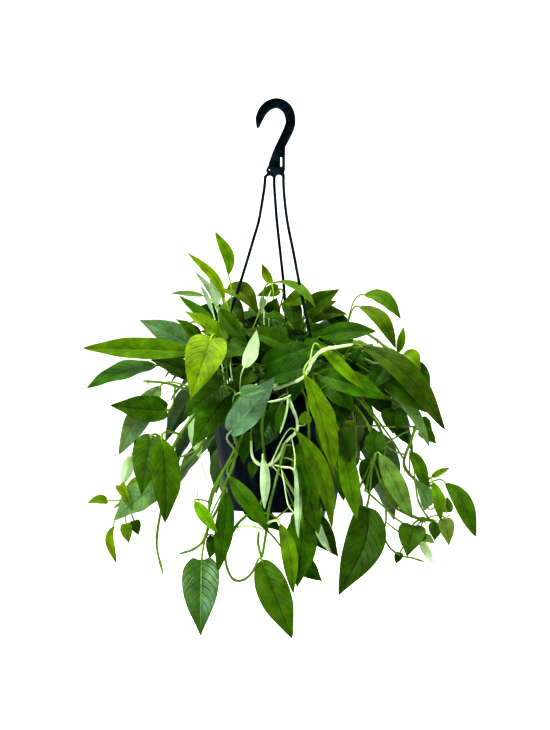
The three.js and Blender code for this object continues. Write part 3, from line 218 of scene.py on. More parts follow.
def seen(across, down, depth):
    """The point seen at a place of the picture, at a depth behind the plane of the hook."""
    x, z = on_plane(across, down)
    reach = (EYE_DISTANCE + depth) / EYE_DISTANCE
    return np.array([EYE[0] + (x - EYE[0]) * reach, depth, EYE[2] + (z - EYE[2]) * reach])


def outwards(angle):
    return np.array([math.cos(math.radians(angle)), math.sin(math.radians(angle)), 0.0])


def round_pot(radius, angle, z):
    return np.array([POT_X, 0, z]) + radius * outwards(angle)


def mix_height(radius):
    share = radius / (WALL_TOP_RADIUS - WALL)
    return MIX_EDGE + MIX_DOME * (1 - share * share)


def wall_radius(z):
    return WALL_TOP_RADIUS + (BASE_RADIUS - WALL_TOP_RADIUS) * (RIM_TOP - z) / POT_HEIGHT


def curve_point(points, share):
    """The point at a share of a curve that passes through all the points."""
    spans = len(points) - 1
    i = min(int(share * spans), spans - 1)
    t = share * spans - i
    start = points[i]
    end = points[i + 1]
    before = points[i - 1] if i else 2 * points[0] - points[1]
    after = points[i + 2] if i + 2 <= spans else 2 * points[-1] - points[-2]
    leave = 0.5 * (end - before)
    arrive = 0.5 * (after - start)
    cubic = 2 * start - 2 * end + leave + arrive
    square = 3 * end - 3 * start - 2 * leave - arrive
    return start + t * (leave + t * (square + t * cubic))


def finely(points, step):
    """Points at about equal steps along the curve through the points."""
    spans = len(points) - 1
    fine = []
    for i in range(spans):
        count = max(2, round(np.linalg.norm(points[i + 1] - points[i]) / step))
        fine += [curve_point(points, (i + j / count) / spans) for j in range(count)]
    return np.array(fine + [points[-1]])


def bow(a, b, c, t):
    """The point at t on the way from a to c along a curve that bends towards b."""
    return (1 - t) ** 2 * a + 2 * t * (1 - t) * b + t * t * c


def bezier(a, b, c, d, count):
    t = np.linspace(0, 1, count)[:, None]
    return (1 - t) ** 3 * a + 3 * t * (1 - t) ** 2 * b + 3 * t * t * (1 - t) * c + t ** 3 * d


# Pieces

def linked(name, data):
    """A new object in the scene."""
    made = bpy.data.objects.new(name, data)
    bpy.context.scene.collection.objects.link(made)
    return made


class Skin:
    """The points and faces of one piece, gathered part by part."""

    def __init__(self):
        self.points = []
        self.faces = []
        self.slots = []
        self.maps = []
        self.tints = []
        self.count = 0

    def add(self, points, faces, slot=0, maps=None, tint=(0, 0, 0)):
        """Adds points and faces. A slot, map or tint holds for all of them or one by one."""
        size = len(points)
        self.points.append(np.asarray(points, float))
        self.faces += [tuple(i + self.count for i in face) for face in faces]
        self.slots += [slot] * len(faces) if isinstance(slot, int) else list(slot)
        self.maps.append(np.zeros((size, 2)) if maps is None else np.asarray(maps, float))
        self.tints.append(np.broadcast_to(np.asarray(tint, float), (size, 3)))
        self.count += size

    def piece(self, name, materials, crease=None):
        """The finished piece. Edges sharper than crease degrees, or between materials, stay sharp."""
        mesh = bpy.data.meshes.new(name)
        points = np.concatenate(self.points) * MM
        mesh.from_pydata(points.tolist(), [], self.faces)
        for material in materials:
            mesh.materials.append(material)
        mesh.polygons.foreach_set("material_index", self.slots)
        mesh.shade_smooth()
        loops = np.zeros(len(mesh.loops), np.int32)
        mesh.loops.foreach_get("vertex_index", loops)
        layer = mesh.uv_layers.new(name="blade")
        layer.data.foreach_set("uv", np.concatenate(self.maps)[loops].ravel())
        tints = np.concatenate(self.tints)
        colours = np.hstack([tints, np.ones((len(tints), 1))])
        tint = mesh.color_attributes.new(name="tint", type="FLOAT_COLOR", domain="POINT")
        tint.data.foreach_set("color", colours.ravel())
        if crease:
            mesh.set_sharp_from_angle(angle=math.radians(crease))
        else:
            part_materials(mesh)
        return linked(name, mesh)


def part_materials(mesh):
    """Marks the edges where two materials meet as sharp, such as the margin of a leaf."""
    edges = np.zeros(len(mesh.loops), np.int32)
    mesh.loops.foreach_get("edge_index", edges)
    totals = np.zeros(len(mesh.polygons), np.int32)
    mesh.polygons.foreach_get("loop_total", totals)
    indices = np.zeros(len(mesh.polygons), np.int32)
    mesh.polygons.foreach_get("material_index", indices)
    slots = np.repeat(indices, totals)
    lowest = np.full(len(mesh.edges), 99)
    highest = np.full(len(mesh.edges), -1)
    np.minimum.at(lowest, edges, slots)
    np.maximum.at(highest, edges, slots)
    sharp = mesh.attributes.new("sharp_edge", "BOOLEAN", "EDGE")
    sharp.data.foreach_set("value", lowest != highest)


def finish_piece(piece, slot, *nodes):
    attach(piece, "root")
    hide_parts(*nodes)


def ring_faces(rings, sides):
    """Faces between rings of points, with the same number of points in each."""
    faces = []
    for row in range(rings - 1):
        for k in range(sides):
            a = row * sides + k
            b = row * sides + (k + 1) % sides
            faces.append((a, b, b + sides, a + sides))
    return faces


def ring_turns(sides):
    return np.arange(sides) * 2 * math.pi / sides


def tube(skin, points, radii, sides, slot=0, tints=(0, 0, 0)):
    """A round tube along points, each of its ends drawn together to one point."""
    count = len(points)
    along = unit(np.gradient(points, axis=0))
    across = unit(np.cross(along[0], ASKEW))
    turns = ring_turns(sides)
    rings = []
    for i in range(count):
        across = unit(across - along[i] * np.dot(across, along[i]))
        other = np.cross(along[i], across)
        circle = np.outer(np.cos(turns), across) + np.outer(np.sin(turns), other)
        rings.append(points[i] + radii[i] * circle)
    ends = [points[0] - along[0] * radii[0] * TUBE_END, points[-1] + along[-1] * radii[-1] * TUBE_END]
    body = np.concatenate([*rings, ends])
    faces = ring_faces(count, sides)
    first = count * sides
    last = (count - 1) * sides
    for k in range(sides):
        after = (k + 1) % sides
        faces.append((first, after, k))
        faces.append((last + k, last + after, first + 1))
    lengths = np.concatenate([[0], np.cumsum(np.linalg.norm(np.diff(points, axis=0), axis=1))])
    rows = np.repeat(lengths / TUBE_MAP, sides)
    maps = np.stack([np.tile(np.arange(sides) / sides, count), rows], axis=1)
    maps = np.concatenate([maps, [[0.5, 0], [0.5, lengths[-1] / TUBE_MAP]]])
    tints = np.broadcast_to(np.asarray(tints, float), (count, 3))
    skin.add(body, faces, slot, maps, np.concatenate([np.repeat(tints, sides, axis=0), tints[[0, -1]]]))


def lathe(skin, profile, sides):
    """A closed profile of radius and height turned round the pot's axis."""
    turns = ring_turns(sides)
    rows = []
    faces = []
    starts = []
    for radius, z in profile:
        starts.append(sum(len(row) for row in rows))
        if radius < 1e-6:
            rows.append(np.array([[POT_X, 0, z]]))
        else:
            x = POT_X + radius * np.cos(turns)
            rows.append(np.stack([x, radius * np.sin(turns), np.full(sides, z)], axis=1))
    for i in range(len(profile) - 1):
        for k in range(sides):
            after = (k + 1) % sides
            first, second = starts[i:i + 2]
            low = [first] if len(rows[i]) == 1 else [first + k, first + after]
            high = [second] if len(rows[i + 1]) == 1 else [second + after, second + k]
            faces.append(tuple(low + high))
    skin.add(np.concatenate(rows), faces)


def rounded(profile, size):
    """The profile with each inner corner cut to a small arc."""
    points = [profile[0]]
    for before, corner, after in zip(profile, profile[1:], profile[2:]):
        corner = np.array(corner, float)
        start = np.array(before) - corner
        end = np.array(after) - corner
        reach = min(size, 0.45 * np.linalg.norm(start), 0.45 * np.linalg.norm(end))
        start = corner + unit(start) * reach
        end = corner + unit(end) * reach
        points += [tuple(bow(start, corner, end, t)) for t in (0, 0.33, 0.67, 1)]
    return points + [profile[-1]]


def flat_plate(outlines, thick, bevel):
    """The points and faces of a flat plate with rounded edges. Outlines after the first are holes."""
    curve = bpy.data.curves.new("plate", "CURVE")
    curve.dimensions = "2D"
    curve.fill_mode = "BOTH"
    curve.extrude = thick / 2 - bevel
    curve.bevel_depth = bevel
    curve.bevel_resolution = 2
    curve.offset = -bevel
    for outline in outlines:
        spline = curve.splines.new("POLY")
        spline.points.add(len(outline) - 1)
        for point, (x, y) in zip(spline.points, outline):
            point.co = (x, y, 0, 1)
        spline.use_cyclic_u = True
    cut = linked("plate", curve)
    mesh = bpy.data.meshes.new_from_object(cut.evaluated_get(bpy.context.evaluated_depsgraph_get()))
    bpy.data.objects.remove(cut)
    welded = bmesh.new()
    welded.from_mesh(mesh)
    bmesh.ops.remove_doubles(welded, verts=welded.verts, dist=1e-4)
    points = np.array([vert.co for vert in welded.verts])
    faces = [[vert.index for vert in face.verts] for face in welded.faces]
    welded.free()
    return points, faces


# Materials

class Net:
    """The nodes of one material, ending in its own shader."""

    def __init__(self, name, roughness, **settings):
        self.material = bpy.data.materials.new(name)
        self.material.use_nodes = True
        self.tree = self.material.node_tree
        self.shader = self.tree.nodes["Principled BSDF"]
        self.put(self.shader.inputs["Roughness"], roughness)
        for socket, value in settings.items():
            self.put(self.shader.inputs[socket.replace("_", " ")], value)

    def put(self, socket, value):
        if isinstance(value, bpy.types.NodeSocket):
            self.tree.links.new(value, socket)
        elif isinstance(value, tuple) and len(value) == 3 and len(socket.default_value) == 4:
            socket.default_value = (*value, 1)
        else:
            socket.default_value = value

    def node(self, kind, inputs=(), **settings):
        """A node with its settings and what goes into its inputs, by name or number."""
        made = self.tree.nodes.new(kind)
        for name, value in settings.items():
            setattr(made, name, value)
        for key, value in dict(inputs).items():
            self.put(made.inputs[key], value)
        return made

    def maths(self, operation, *values):
        return self.node("ShaderNodeMath", enumerate(values), operation=operation).outputs[0]

    def mixed(self, share, first, second):
        inputs = {0: share, 6: first, 7: second}
        return self.node("ShaderNodeMix", inputs, data_type="RGBA").outputs[2]

    def scaled(self, colour, factor):
        inputs = {0: colour, "Scale": factor}
        return self.node("ShaderNodeVectorMath", inputs, operation="SCALE").outputs[0]

    def between(self, value, low, high, start=0.0, end=1.0):
        inputs = {"Value": value, "From Min": low, "From Max": high, "To Min": start, "To Max": end}
        return self.node("ShaderNodeMapRange", inputs, interpolation_type="SMOOTHSTEP").outputs[0]

    def place(self):
        return self.node("ShaderNodeTexCoord").outputs["Object"]

    def stretched(self, vector, scale):
        return self.node("ShaderNodeMapping", {"Vector": vector, "Scale": scale}).outputs[0]

    def grain(self, vector, scale, detail=2.0, roughness=0.5):
        inputs = {"Vector": vector, "Scale": scale, "Detail": detail, "Roughness": roughness}
        return self.node("ShaderNodeTexNoise", inputs).outputs[0]

    def raised(self, height, strength, distance):
        inputs = {"Height": height, "Strength": strength, "Distance": distance}
        self.put(self.shader.inputs["Normal"], self.node("ShaderNodeBump", inputs).outputs[0])

    def colour(self, value):
        self.put(self.shader.inputs["Base Color"], value)


def leaf_material(name, kind, roughness, **settings):
    """A blade's surface, of kind top, silver or under: lateral veins that curve to the tip, a midrib
    and mottling. On the top the midrib is darker, a painted shadow in its groove. A silver leaf has pale
    patches between its veins, its own silvery colour with painted sheen, and more of them on one half
    than the other as a painted reflection."""
    net = Net(name, roughness, **settings)
    uv = net.node("ShaderNodeUVMap", uv_map="blade").outputs[0]
    split = net.node("ShaderNodeSeparateXYZ", {0: uv})
    signed = net.maths("MULTIPLY_ADD", split.outputs[0], 2.0, -1.0)
    out = net.maths("ABSOLUTE", signed)
    lean = net.maths("MULTIPLY", out, net.maths("MULTIPLY_ADD", out, VEIN_CURVE, VEIN_LEAN))
    shift = net.maths("MULTIPLY", net.maths("LESS_THAN", signed, 0.0), VEIN_SHIFT)
    along = net.maths("MULTIPLY_ADD", net.maths("SUBTRACT", split.outputs[1], lean), float(VEINS), shift)
    place = net.place()
    mottle = net.grain(place, MOTTLE_SCALE, 3.0, 0.6)
    fine = net.grain(place, PORE_SCALE, 2.0)
    wobble = net.maths("MULTIPLY_ADD", mottle, 0.5, along)
    wave = net.maths("COSINE", net.maths("MULTIPLY", wobble, 2 * math.pi))
    vein = net.maths("POWER", net.maths("MULTIPLY_ADD", wave, 0.5, 0.5), VEIN_SHARPNESS)
    small = net.maths("COSINE", net.maths("MULTIPLY", wobble, 8 * math.pi))
    midrib = net.between(out, 0.015, 0.05, 1.0, 0.0)
    tint = net.node("ShaderNodeAttribute", attribute_name="tint").outputs["Color"]
    light = net.maths("MULTIPLY_ADD", mottle, 1.5, 0.26)
    light = net.maths("MULTIPLY_ADD", small, 0.09, light)
    vein_light, vein_height = (0.12, 0.8) if kind == "under" else (-0.16, -1.0)
    light = net.maths("MULTIPLY_ADD", vein, vein_light, light)
    # On the top the midrib is darkened: a painted shadow in its groove.
    if kind == "top":
        light = net.maths("MULTIPLY", light, net.maths("MULTIPLY_ADD", midrib, -0.45, 1.0))
    colour = net.scaled(tint, light)
    # Silver patches: the leaf's own silvery colour with painted sheen, and a painted reflection that
    # favours one half of the blade.
    if kind == "silver":
        patches = net.between(mottle, 0.30, 0.62)
        off_veins = net.between(wave, 0.95, 0.3, 0.35, 1.0)
        broad = net.between(net.grain(place, PATCH_SCALE, 2.0), 0.44, 0.60, 0.08, 1.0)
        painted_sheen_half = net.between(signed, -0.2, 0.2, 1.0, 0.15)
        for share in (off_veins, broad, painted_sheen_half):
            patches = net.maths("MULTIPLY", patches, share)
        colour = net.mixed(net.maths("MULTIPLY", patches, 0.9), colour, SILVER_PATCH)
        colour = net.mixed(net.maths("MULTIPLY", midrib, 0.4), colour, MIDRIB_PALE)
    if kind == "under":
        colour = net.mixed(UNDER_SHARE, colour, UNDER_PALE)
    net.colour(colour)
    height = net.maths("MULTIPLY_ADD", vein, vein_height, net.maths("MULTIPLY", fine, 0.2))
    height = net.maths("MULTIPLY_ADD", small, 0.12, height)
    net.raised(height, 0.5, 0.0006)
    return net.material


def stem_material():
    net = Net("stem_green", 0.45, Specular_IOR_Level=0.3)
    place = net.place()
    streaks = net.grain(net.stretched(place, (1.0, 1.0, 0.16)), 420.0, 3.0)
    fine = net.grain(place, 1500.0)
    tint = net.node("ShaderNodeAttribute", attribute_name="tint").outputs["Color"]
    net.colour(net.scaled(tint, net.maths("MULTIPLY_ADD", streaks, 0.7, 0.65)))
    net.raised(net.maths("ADD", streaks, net.maths("MULTIPLY", fine, 0.3)), 0.35, 0.0004)
    return net.material


def root_material():
    net = Net("root_bark", 0.8)
    grain = net.grain(net.place(), 1100.0, 4.0, 0.7)
    net.colour(net.mixed(grain, (0.05, 0.035, 0.018), (0.26, 0.19, 0.10)))
    net.raised(grain, 0.7, 0.0005)
    return net.material


def plastic(name, roughness, dark, light, streaks, depth, shine):
    """Black plastic with a moulded grain and lighter marks. Where streaks below 1 draw the marks out
    upright, as on the pot, they are painted reflections.
    """
    net = Net(name, roughness, Specular_IOR_Level=0.08, Specular_Tint=shine)
    place = net.place()
    grain = net.grain(place, 1400.0, 3.0)
    cloud = net.grain(place, 28.0, 4.0, 0.6)
    streak_noise = net.grain(net.stretched(place, (1.0, 1.0, streaks)), 75.0, 3.0, 0.55)
    # Lighter marks: plain mottling on the hanger, painted reflections streaked upright on the pot.
    marks_and_reflections = net.maths("MULTIPLY", net.between(streak_noise, 0.38, 0.66), net.between(cloud, 0.2, 0.6))
    net.colour(net.mixed(marks_and_reflections, dark, light))
    uneven = net.maths("MULTIPLY_ADD", grain, 0.08, roughness - 0.15)
    uneven = net.maths("MULTIPLY_ADD", cloud, 0.22, uneven)
    net.put(net.shader.inputs["Roughness"], uneven)
    net.raised(net.maths("MULTIPLY_ADD", grain, 0.04, streak_noise), depth, 0.004)
    return net.material


def mix_material():
    net = Net("peat", 0.95, Specular_IOR_Level=0.2)
    place = net.place()
    lumps = net.grain(place, 260.0, 6.0, 0.7)
    fibres = net.grain(net.stretched(place, (1.0, 0.3, 1.0)), 700.0, 3.0)
    net.colour(net.mixed(net.between(lumps, 0.3, 0.7), (0.012, 0.008, 0.005), (0.085, 0.052, 0.028)))
    net.raised(net.maths("ADD", lumps, net.maths("MULTIPLY", fibres, 0.5)), 0.9, 0.002)
    return net.material


def grain_material(name, dark, light, scale):
    net = Net(name, 0.85)
    pores = net.grain(net.place(), scale, 5.0, 0.7)
    net.colour(net.mixed(pores, dark, light))
    net.raised(pores, 0.7, 0.0006)
    return net.material


LEAF_TOP = leaf_material("leaf_top", "top", 0.42, Specular_IOR_Level=0.1)
LEAF_SILVER = leaf_material("leaf_silver", "silver", 0.38, Specular_IOR_Level=0.3)
LEAF_UNDER = leaf_material("leaf_under", "under", 0.6, Specular_IOR_Level=0.1)
STEM = stem_material()
ROOT = root_material()
LEAFY = [LEAF_TOP, LEAF_SILVER, LEAF_UNDER, STEM, ROOT]
TOP, SILVER, UNDER, STEM_SLOT, ROOT_SLOT = range(5)


# Hanger: a flat ribbed hook, a thin plate below it, and three strands to the pot's ears.
# Its middle line from the tip to the neck, as across, down and half its width.
HOOK_LINE = [
    [257.4, 128, 0.7], [258.2, 124.6, 2.1], [259.5, 118.3, 3.8], [263, 111, 4.5], [268.6, 105.6, 4.7],
    [276, 103.2, 4.8], [282.7, 105.1, 5], [287.8, 110.2, 5.1], [290.4, 118.6, 4.9], [289.5, 127, 4.9],
    [284.4, 138.4, 4.7], [277.9, 151.4, 4.4], [272.6, 165, 4.1],
]
HOOK_POINTS = [np.insert(on_plane(across, down), 1, 0) for across, down, _ in HOOK_LINE]
HOOK_STATIONS = 150


def hook_place(share):
    """The middle, the direction across and half the width of the hook at a share of its length."""
    spans = len(HOOK_LINE) - 1
    share = min(max(share, 0), 1)
    at = min(share * spans, spans - 1e-6)
    i = int(at)
    half = UNIT * (HOOK_LINE[i][2] + (HOOK_LINE[i + 1][2] - HOOK_LINE[i][2]) * (at - i))
    ahead = curve_point(HOOK_POINTS, min(share + 0.002, 1))
    behind = curve_point(HOOK_POINTS, max(share - 0.002, 0))
    along = unit(ahead - behind)
    return curve_point(HOOK_POINTS, share), np.array([-along[2], 0, along[0]]), half


def hook_section(half, web):
    """Half widths and depths round the hook's section: two flanges with a web between them."""
    face = HOOK_THICK / 2
    edge = HOOK_EDGE
    cut = HOOK_EDGE_MIDDLE
    wall = max(half - FLANGE, 0.12)
    foot = max(half - FLANGE - FLANGE_SLOPE, 0.06)
    side = [
        (wall, -face), (half - edge, -face), (half - cut, -face + cut), (half, -face + edge),
        (half, face - edge), (half - cut, face - cut), (half - edge, face), (wall, face), (foot, web),
    ]
    other = [(-x, -y) for x, y in side]
    return [(foot, -web), *side, (-foot, web), *other]


def hook_body(skin):
    rings = []
    for share in np.linspace(0, 1, HOOK_STATIONS):
        middle, across, half = hook_place(share)
        opened = smooth(*HOLLOW_START, share) * (1 - smooth(*HOLLOW_END, share))
        web = HOOK_THICK / 2 + (WEB_THICK / 2 - HOOK_THICK / 2) * opened
        section = hook_section(half, web)
        rings.append([middle + across * x + np.array([0, y, 0]) for x, y in section])
    sides = len(rings[0])
    faces = ring_faces(len(rings), sides)
    faces.append(tuple(range(sides))[::-1])
    last = (len(rings) - 1) * sides
    faces.append(tuple(range(last, last + sides)))
    skin.add(np.concatenate(rings), faces)
    for i in range(1, POCKETS - 1):
        side = 1 if i % 2 else -1
        middle = (i + 0.5) / POCKET_SPACES
        rib_bar(skin, middle + RIB_START, -side, middle + RIB_END, side)


def rib_bar(skin, start, start_side, end, end_side):
    """A straight rib across the pockets of both faces, from one flange to the other."""
    ends = []
    for share, side in ((start, start_side), (end, end_side)):
        middle, across, half = hook_place(share)
        ends.append(middle + across * side * (half - FLANGE * 0.6))
    along = unit(ends[1] - ends[0])
    wide = np.array([-along[2], 0, along[0]]) * RIB / 2
    deep = HOOK_THICK / 2 - RIB_SUNK
    top = deep + RIB_CROWN
    corners = []
    for end in ends:
        for share, depth in ((-1, -deep), (-0.75, -top), (0.75, -top), (1, -deep),
                             (1, deep), (0.75, top), (-0.75, top), (-1, deep)):
            corners.append(end + wide * share + np.array([0, depth, 0]))
    faces = ring_faces(2, 8) + [tuple(range(8))[::-1], tuple(range(8, 16))]
    skin.add(corners, faces)


# The plate below the hook: its right side, the two arches between its three feet, its left side
PLATE_RIGHT = [
    [285.1, 145.5], [284.8, 170.4], [284, 172.3], [284.6, 176], [284.6, 179.5], [282.4, 179.5],
]
PLATE_ARCHES = [[278.8, 174.8, 275.3, 179.5], [269.8, 175.6, 266.4, 179.5]]
PLATE_FOOT = [273.2, 179.5]
PLATE_LEFT = [
    [264.2, 179.5], [264.6, 176], [267.3, 172.7], [266.1, 171], [266.6, 168.6], [268.4, 165.6],
    [271.5, 156],
]
PLATE_EDGE = [[285.2, 145], [284.9, 171], [283.7, 171], [283.7, 147]]
PLATE_SLOT = [280.2, 157, 282.2, 166.8]
PLATE_EYE = [268.7, 169, 270.2, 170.5]
PLATE_BEVEL = 0.35


def arch(start, crown_across, crown_down, end_across, end_down):
    """The points of an arch from a foot over its crown to the next foot."""
    crown = (crown_across, crown_down)
    end = (end_across, end_down)
    legs = ((start, (start[0], crown_down), crown), (crown, (end_across, crown_down), end))
    points = []
    for leg in legs:
        points += [bow(*np.array(leg), t) for t in np.linspace(0, 1, 7)[1:]]
    return points


def rounded_hole(left, top, right, bottom):
    radius = min(right - left, bottom - top) / 2
    points = []
    for corner, (x, y) in enumerate(((left, top), (right, top), (right, bottom), (left, bottom))):
        middle = (x + radius * (1 if x == left else -1), y + radius * (1 if y == top else -1))
        for step in range(5):
            turn = math.pi + math.pi / 2 * (corner + step / 4)
            points.append([middle[0] + radius * math.cos(turn), middle[1] + radius * math.sin(turn)])
    return points


def plate_body(skin):
    outline = [*PLATE_RIGHT, *arch(PLATE_RIGHT[-1], *PLATE_ARCHES[0]), PLATE_FOOT]
    outline += [*arch(PLATE_FOOT, *PLATE_ARCHES[1]), *PLATE_LEFT]
    holes = [rounded_hole(*PLATE_SLOT), rounded_hole(*PLATE_EYE)]
    parts = [([outline, *holes], WEB_THICK), ([PLATE_EDGE], PLATE_EDGE_THICK)]
    for outlines, thick in parts:
        flat = [[on_plane(*corner) for corner in line] for line in outlines]
        points, faces = flat_plate(flat, thick, PLATE_BEVEL)
        skin.add(np.stack([points[:, 0], -points[:, 2], points[:, 1]], axis=1), faces)


# Where each strand is seen on its way down, and the ear it ends in
STRANDS = [
    [[265.3, 176], [264, 190], [258.9, 220], [253.2, 240], [241.2, 280], [232, 307]],
    [[283.5, 174.5], [283.8, 190], [287.1, 220], [293.8, 254], [300.1, 287], [312, 341]],
    [[274.2, 176.5], [274.5, 190], [276.8, 220], [280.2, 252], [283.8, 286], [287, 330]],
]


def strand_points(spots, angle):
    end = round_pot(EAR_CIRCLE, angle, EAR_TOP)
    top = seen(*spots[0], 0)
    points = []
    for across, down in spots:
        fall = (top[2] - on_plane(across, down)[1]) / (top[2] - end[2])
        points.append(seen(across, down, end[1] * fall ** STRAND_BOW))
    for rise in (STRAND_FALL, 0, -EAR_THICK - BARB_LENGTH / 2):
        points.append(end + UP * rise)
    return points


def strand_body(skin, spots, angle):
    points = finely(strand_points(spots, angle), STRAND_STEP)
    tube(skin, points, np.full(len(points), STRAND_RADIUS), 12)
    top = EAR_TOP - EAR_THICK - GAP
    heights = np.array([top, top - 0.4, top - 1.2, top - BARB_LENGTH])
    foot = round_pot(EAR_CIRCLE, angle, 0)
    middle = np.array([foot + UP * z for z in heights])
    tube(skin, middle, [BARB_RADIUS - 0.4, BARB_RADIUS, BARB_RADIUS - 0.1, BARB_TIP_RADIUS], 16)


def hanger():
    skin = Skin()
    hook_body(skin)
    plate_body(skin)
    for spots, angle in zip(STRANDS, EAR_ANGLES):
        strand_body(skin, spots, angle)
    dark = (0.003, 0.006, 0.007)
    light = (0.011, 0.021, 0.028)
    black = plastic("hanger_black", 0.4, dark, light, 1.0, 0.12, (0.6, 0.85, 1.0))
    piece = skin.piece("moulded_hanger", [black], crease=CREASE)
    finish_piece(piece, "hanger_plastic", "hanger")


# Pot: a tapered wall with a banded rim, three ears for the hanger and drain holes in its floor

def pot():
    base = RIM_TOP - POT_HEIGHT
    floor = base + FOOT
    band = RIM_TOP - RIM_BAND
    inside = WALL_TOP_RADIUS - WALL
    top = floor + FLOOR
    profile = [
        (0, floor), (BASE_RADIUS - FOOT_WIDTH - ROUNDING, floor), (BASE_RADIUS - FOOT_WIDTH, base),
        (BASE_RADIUS, base), (wall_radius(band), band), (RIM_RADIUS - RIM_FLARE, band + ROUNDING),
        (RIM_RADIUS, RIM_TOP - ROUNDING), (RIM_RADIUS - ROUNDING, RIM_TOP),
        (inside + RIM_FLARE, RIM_TOP), (inside, RIM_TOP - ROUNDING),
        (wall_radius(top) - WALL, top), (0, top),
    ]
    skin = Skin()
    lathe(skin, rounded(profile, CORNER), POT_SIDES)
    # The light colour shows only in the upright streaks, which are painted reflections.
    dark = (0.002, 0.004, 0.007)
    light = (0.015, 0.025, 0.036)
    black = plastic("pot_black", 0.5, dark, light, 0.12, 0.45, (0.25, 0.42, 0.75))
    body = skin.piece("nursery_pot", [black], crease=CREASE)
    drill(body, floor)
    for angle in EAR_ANGLES:
        add_ear(body, angle)
    finish_piece(body, "pot_plastic", "pot")


def drill(body, floor):
    """Cuts the ring of drain holes through the pot's floor."""
    cutter = Skin()
    for i in range(DRAINS):
        centre = round_pot(DRAIN_CIRCLE, 360 * i / DRAINS, floor)
        tube(cutter, np.array([centre - 10 * UP, centre + 10 * UP]), [DRAIN_RADIUS] * 2, 24)
    tool = cutter.piece("drains", [])
    cut = body.modifiers.new("drains", "BOOLEAN")
    cut.operation = "DIFFERENCE"
    cut.solver = "EXACT"
    cut.object = tool
    made = body.evaluated_get(bpy.context.evaluated_depsgraph_get())
    mesh = bpy.data.meshes.new_from_object(made)
    body.modifiers.clear()
    body.data = mesh
    bpy.data.objects.remove(tool)


def add_ear(body, angle):
    """A rounded tab on the rim, with the hole that a strand goes through."""
    inner = RIM_RADIUS - EAR_SUNK
    outer = EAR_CIRCLE + EAR_END
    half = EAR_WIDTH / 2
    turn_x = outer - EAR_CORNER
    turn_y = EAR_CORNER - half
    outline = [(inner, -half), (turn_x, -half)]
    for t in np.linspace(0, math.pi / 2, 6):
        outline.append((turn_x + EAR_CORNER * math.sin(t), turn_y - EAR_CORNER * math.cos(t)))
    outline += [(x, -y) for x, y in outline[::-1]]
    turns = np.arange(20) * math.pi / 10
    wide = STRAND_RADIUS + GAP
    hole = [(EAR_CIRCLE + wide * math.cos(t), wide * math.sin(t)) for t in turns]
    points, faces = flat_plate([outline, hole], EAR_THICK, EAR_BEVEL)
    out = outwards(angle)
    round_way = np.array([-out[1], out[0], 0])
    middle = np.array([POT_X, 0, EAR_TOP - EAR_THICK / 2])
    placed = middle + points[:, :1] * out + points[:, 1:2] * round_way + points[:, 2:] * UP
    merged = bmesh.new()
    merged.from_mesh(body.data)
    corners = [merged.verts.new(point * MM) for point in placed]
    for face in faces:
        merged.faces.new([corners[i] for i in face]).smooth = True
    merged.to_mesh(body.data)
    merged.free()
    body.data.set_sharp_from_angle(angle=math.radians(CREASE))


# Potting mix: a crumbly top between the stems, with perlite and bark

def potting_mix(rnd):
    skin = Skin()
    bottom = RIM_TOP - POT_HEIGHT + FOOT + FLOOR + GAP
    sides = MIX_SIDES
    turns = ring_turns(sides)
    edge = wall_radius(MIX_EDGE) - WALL - MIX_CLEARANCE
    low = wall_radius(bottom) - WALL - MIX_CLEARANCE
    rings = []
    for share in np.linspace(0.02, 0.985, MIX_RINGS):
        radius = share * edge
        ring = []
        for turn in turns:
            x = radius * math.cos(turn)
            y = radius * math.sin(turn)
            crumb = CRUMB_HEIGHT * noise.fractal(Vector((x, y, 3.1)) * CRUMB_SCALE, 0.6, 2.1, 5)
            ring.append([POT_X + x, y, mix_height(radius) - CRUMB_SUNK + crumb])
        rings.append(ring)
    side = ((edge, MIX_EDGE - 1.5), (edge - 0.4, MIX_EDGE - 12), (low, bottom + 1), (low - 1, bottom))
    for radius, z in side:
        rings.append([[POT_X + radius * math.cos(turn), radius * math.sin(turn), z] for turn in turns])
    count = len(rings)
    points = [*np.concatenate(rings), [POT_X, 0, mix_height(0) - CRUMB_SUNK], [POT_X, 0, bottom]]
    faces = [face[::-1] for face in ring_faces(count, sides)]
    last = (count - 1) * sides
    for k in range(sides):
        after = (k + 1) % sides
        faces.append((k, after, count * sides))
        faces.append((last + after, last + k, count * sides + 1))
    skin.add(points, faces)
    for i in range(GRAINS):
        radius = GRAIN_CIRCLE * math.sqrt(rnd.random())
        spot = round_pot(radius, rnd.uniform(0, 360), mix_height(radius) - 0.3)
        if i % 3:
            size = rnd.uniform(0.8, 2.0)
            blob(skin, spot, (size, size * rnd.uniform(0.7, 1), size * rnd.uniform(0.6, 0.9)), 1, rnd)
        else:
            size = rnd.uniform(1.5, 4.0)
            blob(skin, spot, (size, size * 0.5, size * 0.28), 2, rnd)
    perlite = grain_material("perlite", (0.55, 0.54, 0.50), (0.86, 0.85, 0.82), 900.0)
    bark = grain_material("bark", (0.03, 0.018, 0.01), (0.15, 0.085, 0.045), 500.0)
    piece = skin.piece("crumbly_mix", [mix_material(), perlite, bark], crease=MIX_CREASE)
    finish_piece(piece, "potting_mix", "potting_mix")


def blob_shape():
    shape = bmesh.new()
    bmesh.ops.create_icosphere(shape, subdivisions=1, radius=1)
    points = np.array([vert.co for vert in shape.verts])
    faces = [[vert.index for vert in face.verts] for face in shape.faces]
    shape.free()
    return points, faces


BLOB = blob_shape()


def blob(skin, centre, sizes, slot, rnd):
    """An uneven crumb, turned any way."""
    points, faces = BLOB
    turn = np.array(Euler([rnd.uniform(0, 6.3) for _ in range(3)]).to_matrix())
    dents = np.array([rnd.uniform(0.75, 1.2) for _ in points])[:, None]
    skin.add(centre + (points * dents * np.array(sizes)) @ turn.T, faces, slot)


# Leafy stems

